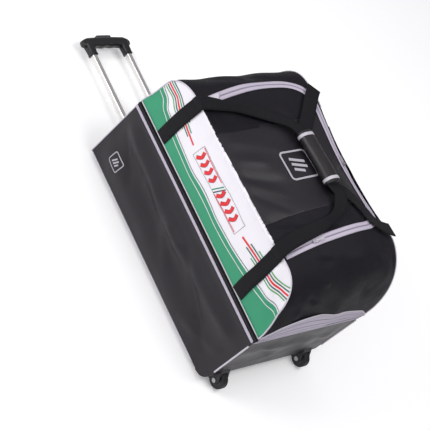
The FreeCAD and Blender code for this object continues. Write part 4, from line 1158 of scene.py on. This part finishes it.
far_strap = strap("far_handle_strap", [on_top(*spot) for spot in FAR_PATH], "far_handle", 150, far_bunch)
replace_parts(far_strap, "far_handle_webbing")


def seated(node, slider, body):
    """A die-cast slider or its pull, moved with its slider onto the cloth at the nearest point of the lid's zip."""
    lo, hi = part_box(slider)
    spot = (lo + hi) / 2
    seat = min(zip_line, key=lambda p: (p.xy - spot.xy).length)
    rise = on_top(seat.x, seat.y, 0.0022)[0].z - lo.z
    shift = Vector((seat.x - spot.x, seat.y - spot.y, rise))
    bm = bmesh.new()
    bm.from_mesh(NODES[node].data)
    bm.transform(Matrix.Translation(shift) @ NODES[node].matrix_world)
    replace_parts(finish_piece(f"{node}_casting", bm, nickel, body, smooth=False), node)


for zip_end in ("lid", "far"):
    seated(f"{zip_end}_slider", f"{zip_end}_slider", f"{zip_end}_slider")
    seated(f"{zip_end}_slider_pull", f"{zip_end}_slider", f"{zip_end}_pull")


# --- trolley grip ----------------------------------------------------------------------------------------------
GRIP_LO, GRIP_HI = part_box("trolley_grip")
TUBE_Y = (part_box("inner_tube_far")[0].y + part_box("inner_tube_far")[1].y) / 2
TUBE_Z = (GRIP_LO.z + GRIP_HI.z) / 2
GRIP_UNDER = GRIP_HI.x - 0.028


def grip_place(u, v):
    """Bowed bar with soft ends: u runs along Y, v goes round the section."""
    half = GRIP_HI.y
    y = -half + 2 * half * u
    bow = 1 - (y / half) ** 2
    end = min(1.0, 6.5 * u * (1 - u) + 0.32) ** 0.5
    middle_x = (GRIP_LO.x + GRIP_UNDER) / 2 + 0.0035 - 0.0035 * bow
    turn = 2 * math.pi * v
    c, s = math.cos(turn), math.sin(turn)
    round_off = soft_square(c, s, 3)
    finger = 0.0012 * math.cos(y / half * math.pi * 5) * (c > 0.2) * bow
    return Vector((middle_x + (0.0165 - finger) * end * c * round_off, y, TUBE_Z + 0.0138 * end * s * round_off))


bm = close_ends(patch(72, 36, grip_place, (0.19, 0.1), weld=True), 36)
grip_bar = finish_piece("trolley_grip_bar", bm, moulded, "trolley")
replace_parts(grip_bar, "trolley_grip")


def socket_place(side):
    """Down-turned socket: wide under the bar, narrower at its mouth, with a rolled lip."""

    def place(u, v):
        x = GRIP_UNDER - 0.014 + (GRIP_HI.x - GRIP_UNDER + 0.014) * u
        half = 0.0150 - 0.0022 * u + (0.0010 if u > 0.86 else 0.0)
        turn = 2 * math.pi * v
        c, s = math.cos(turn), math.sin(turn)
        round_off = soft_square(c, s, 4)
        return Vector((x, side * TUBE_Y + half * c * round_off, TUBE_Z + (half - 0.0012) * s * round_off))

    return place


for name, side in (("near", -1), ("far", 1)):
    bm = close_ends(patch(20, 32, socket_place(side), (0.04, 0.1), weld=True), 32)
    finish_piece(f"trolley_grip_socket_{name}", bm, moulded, "trolley")

# --- camera, floor and light -----------------------------------------------------------------------------------
FLOOR_SIZE = 48
floor_grid = patch(1, 1, lambda u, v: Vector(((u - 0.5) * FLOOR_SIZE, (v - 0.5) * FLOOR_SIZE, 0)))
floor_mesh = bpy.data.meshes.new("floor")
floor_grid.to_mesh(floor_mesh)
floor_grid.free()
floor = bpy.data.objects.new("floor", floor_mesh)
bpy.context.scene.collection.objects.link(floor)
# a matt paper sweep, lit a little from within so that it stays as pale as the backdrop
paper = Finish("pale_studio_floor", "#f6f6f7", 0.9, Emission_Color=tint("#ffffff"), Emission_Strength=0.22)
floor_mesh.materials.append(paper.grain(0.5, 0.02).material)

# The sky is brightest over the camera's shoulder, and dims towards the horizon.
world = bpy.data.worlds.new("studio")
bpy.context.scene.world = world
bpy.context.scene.view_settings.view_transform = "Standard"
world.use_nodes = True
air = world.node_tree
seen = add_node(air, "ShaderNodeTexCoord").outputs["Generated"]
facing = add_node(air, "ShaderNodeVectorMath", {0: seen, 1: (-0.35, -0.80, 0.48)}, operation="DOT_PRODUCT")
shoulder = {"Value": facing.outputs["Value"], "From Min": -0.7, "From Max": 0.9, "To Min": 0.22, "To Max": 0.80}
fade = add_node(air, "ShaderNodeMapRange", shoulder)
height = add_node(air, "ShaderNodeSeparateXYZ", {0: seen})
rise = {"Value": height.outputs["Z"], "From Min": 0.02, "From Max": 0.30, "To Min": 0.12, "To Max": 1.0}
horizon = add_node(air, "ShaderNodeMapRange", rise)
both = add_node(air, "ShaderNodeMath", {0: fade.outputs[0], 1: horizon.outputs[0]}, operation="MULTIPLY")
backdrop = air.nodes["Background"].inputs
air.links.new(both.outputs[0], backdrop["Strength"])
backdrop["Color"].default_value = tint("#f4f2f4")


def softbox(name, spot, aim, size, power):
    """A rectangular area light at a spot, turned to its aim."""
    light = bpy.data.lights.new(name, "AREA")
    light.shape = "RECTANGLE"
    light.size, light.size_y = size
    light.energy = power
    lamp = bpy.data.objects.new(name, light)
    lamp.location = spot
    lamp.rotation_euler = (Vector(aim) - Vector(spot)).to_track_quat("-Z", "Y").to_euler()
    bpy.context.scene.collection.objects.link(lamp)


softbox("key_softbox", (-1.4, -2.4, 1.9), (0, 0, 0.3), (1.6, 1.2), 40)
softbox("top_softbox", (0.6, 0.2, 3.0), (0, 0, 0.3), (2.2, 1.2), 38)

lens = bpy.data.cameras.new("camera")
lens.lens = 125.6
lens.sensor_width = 36.0
lens.clip_end = 60.0
camera = bpy.data.objects.new("camera", lens)
bpy.context.scene.collection.objects.link(camera)
# the camera's own right, up and backward directions
CAMERA_AXES = ((0.4237, 0.6923, 0.5841), (-0.8597, 0.1042, 0.5001), (0.2854, -0.7141, 0.6393))
CAMERA_SPOT = (1.189, -3.135, 2.938)
camera.matrix_world = Matrix.Translation(CAMERA_SPOT) @ Matrix(CAMERA_AXES).transposed().to_4x4()
bpy.context.scene.camera = camera
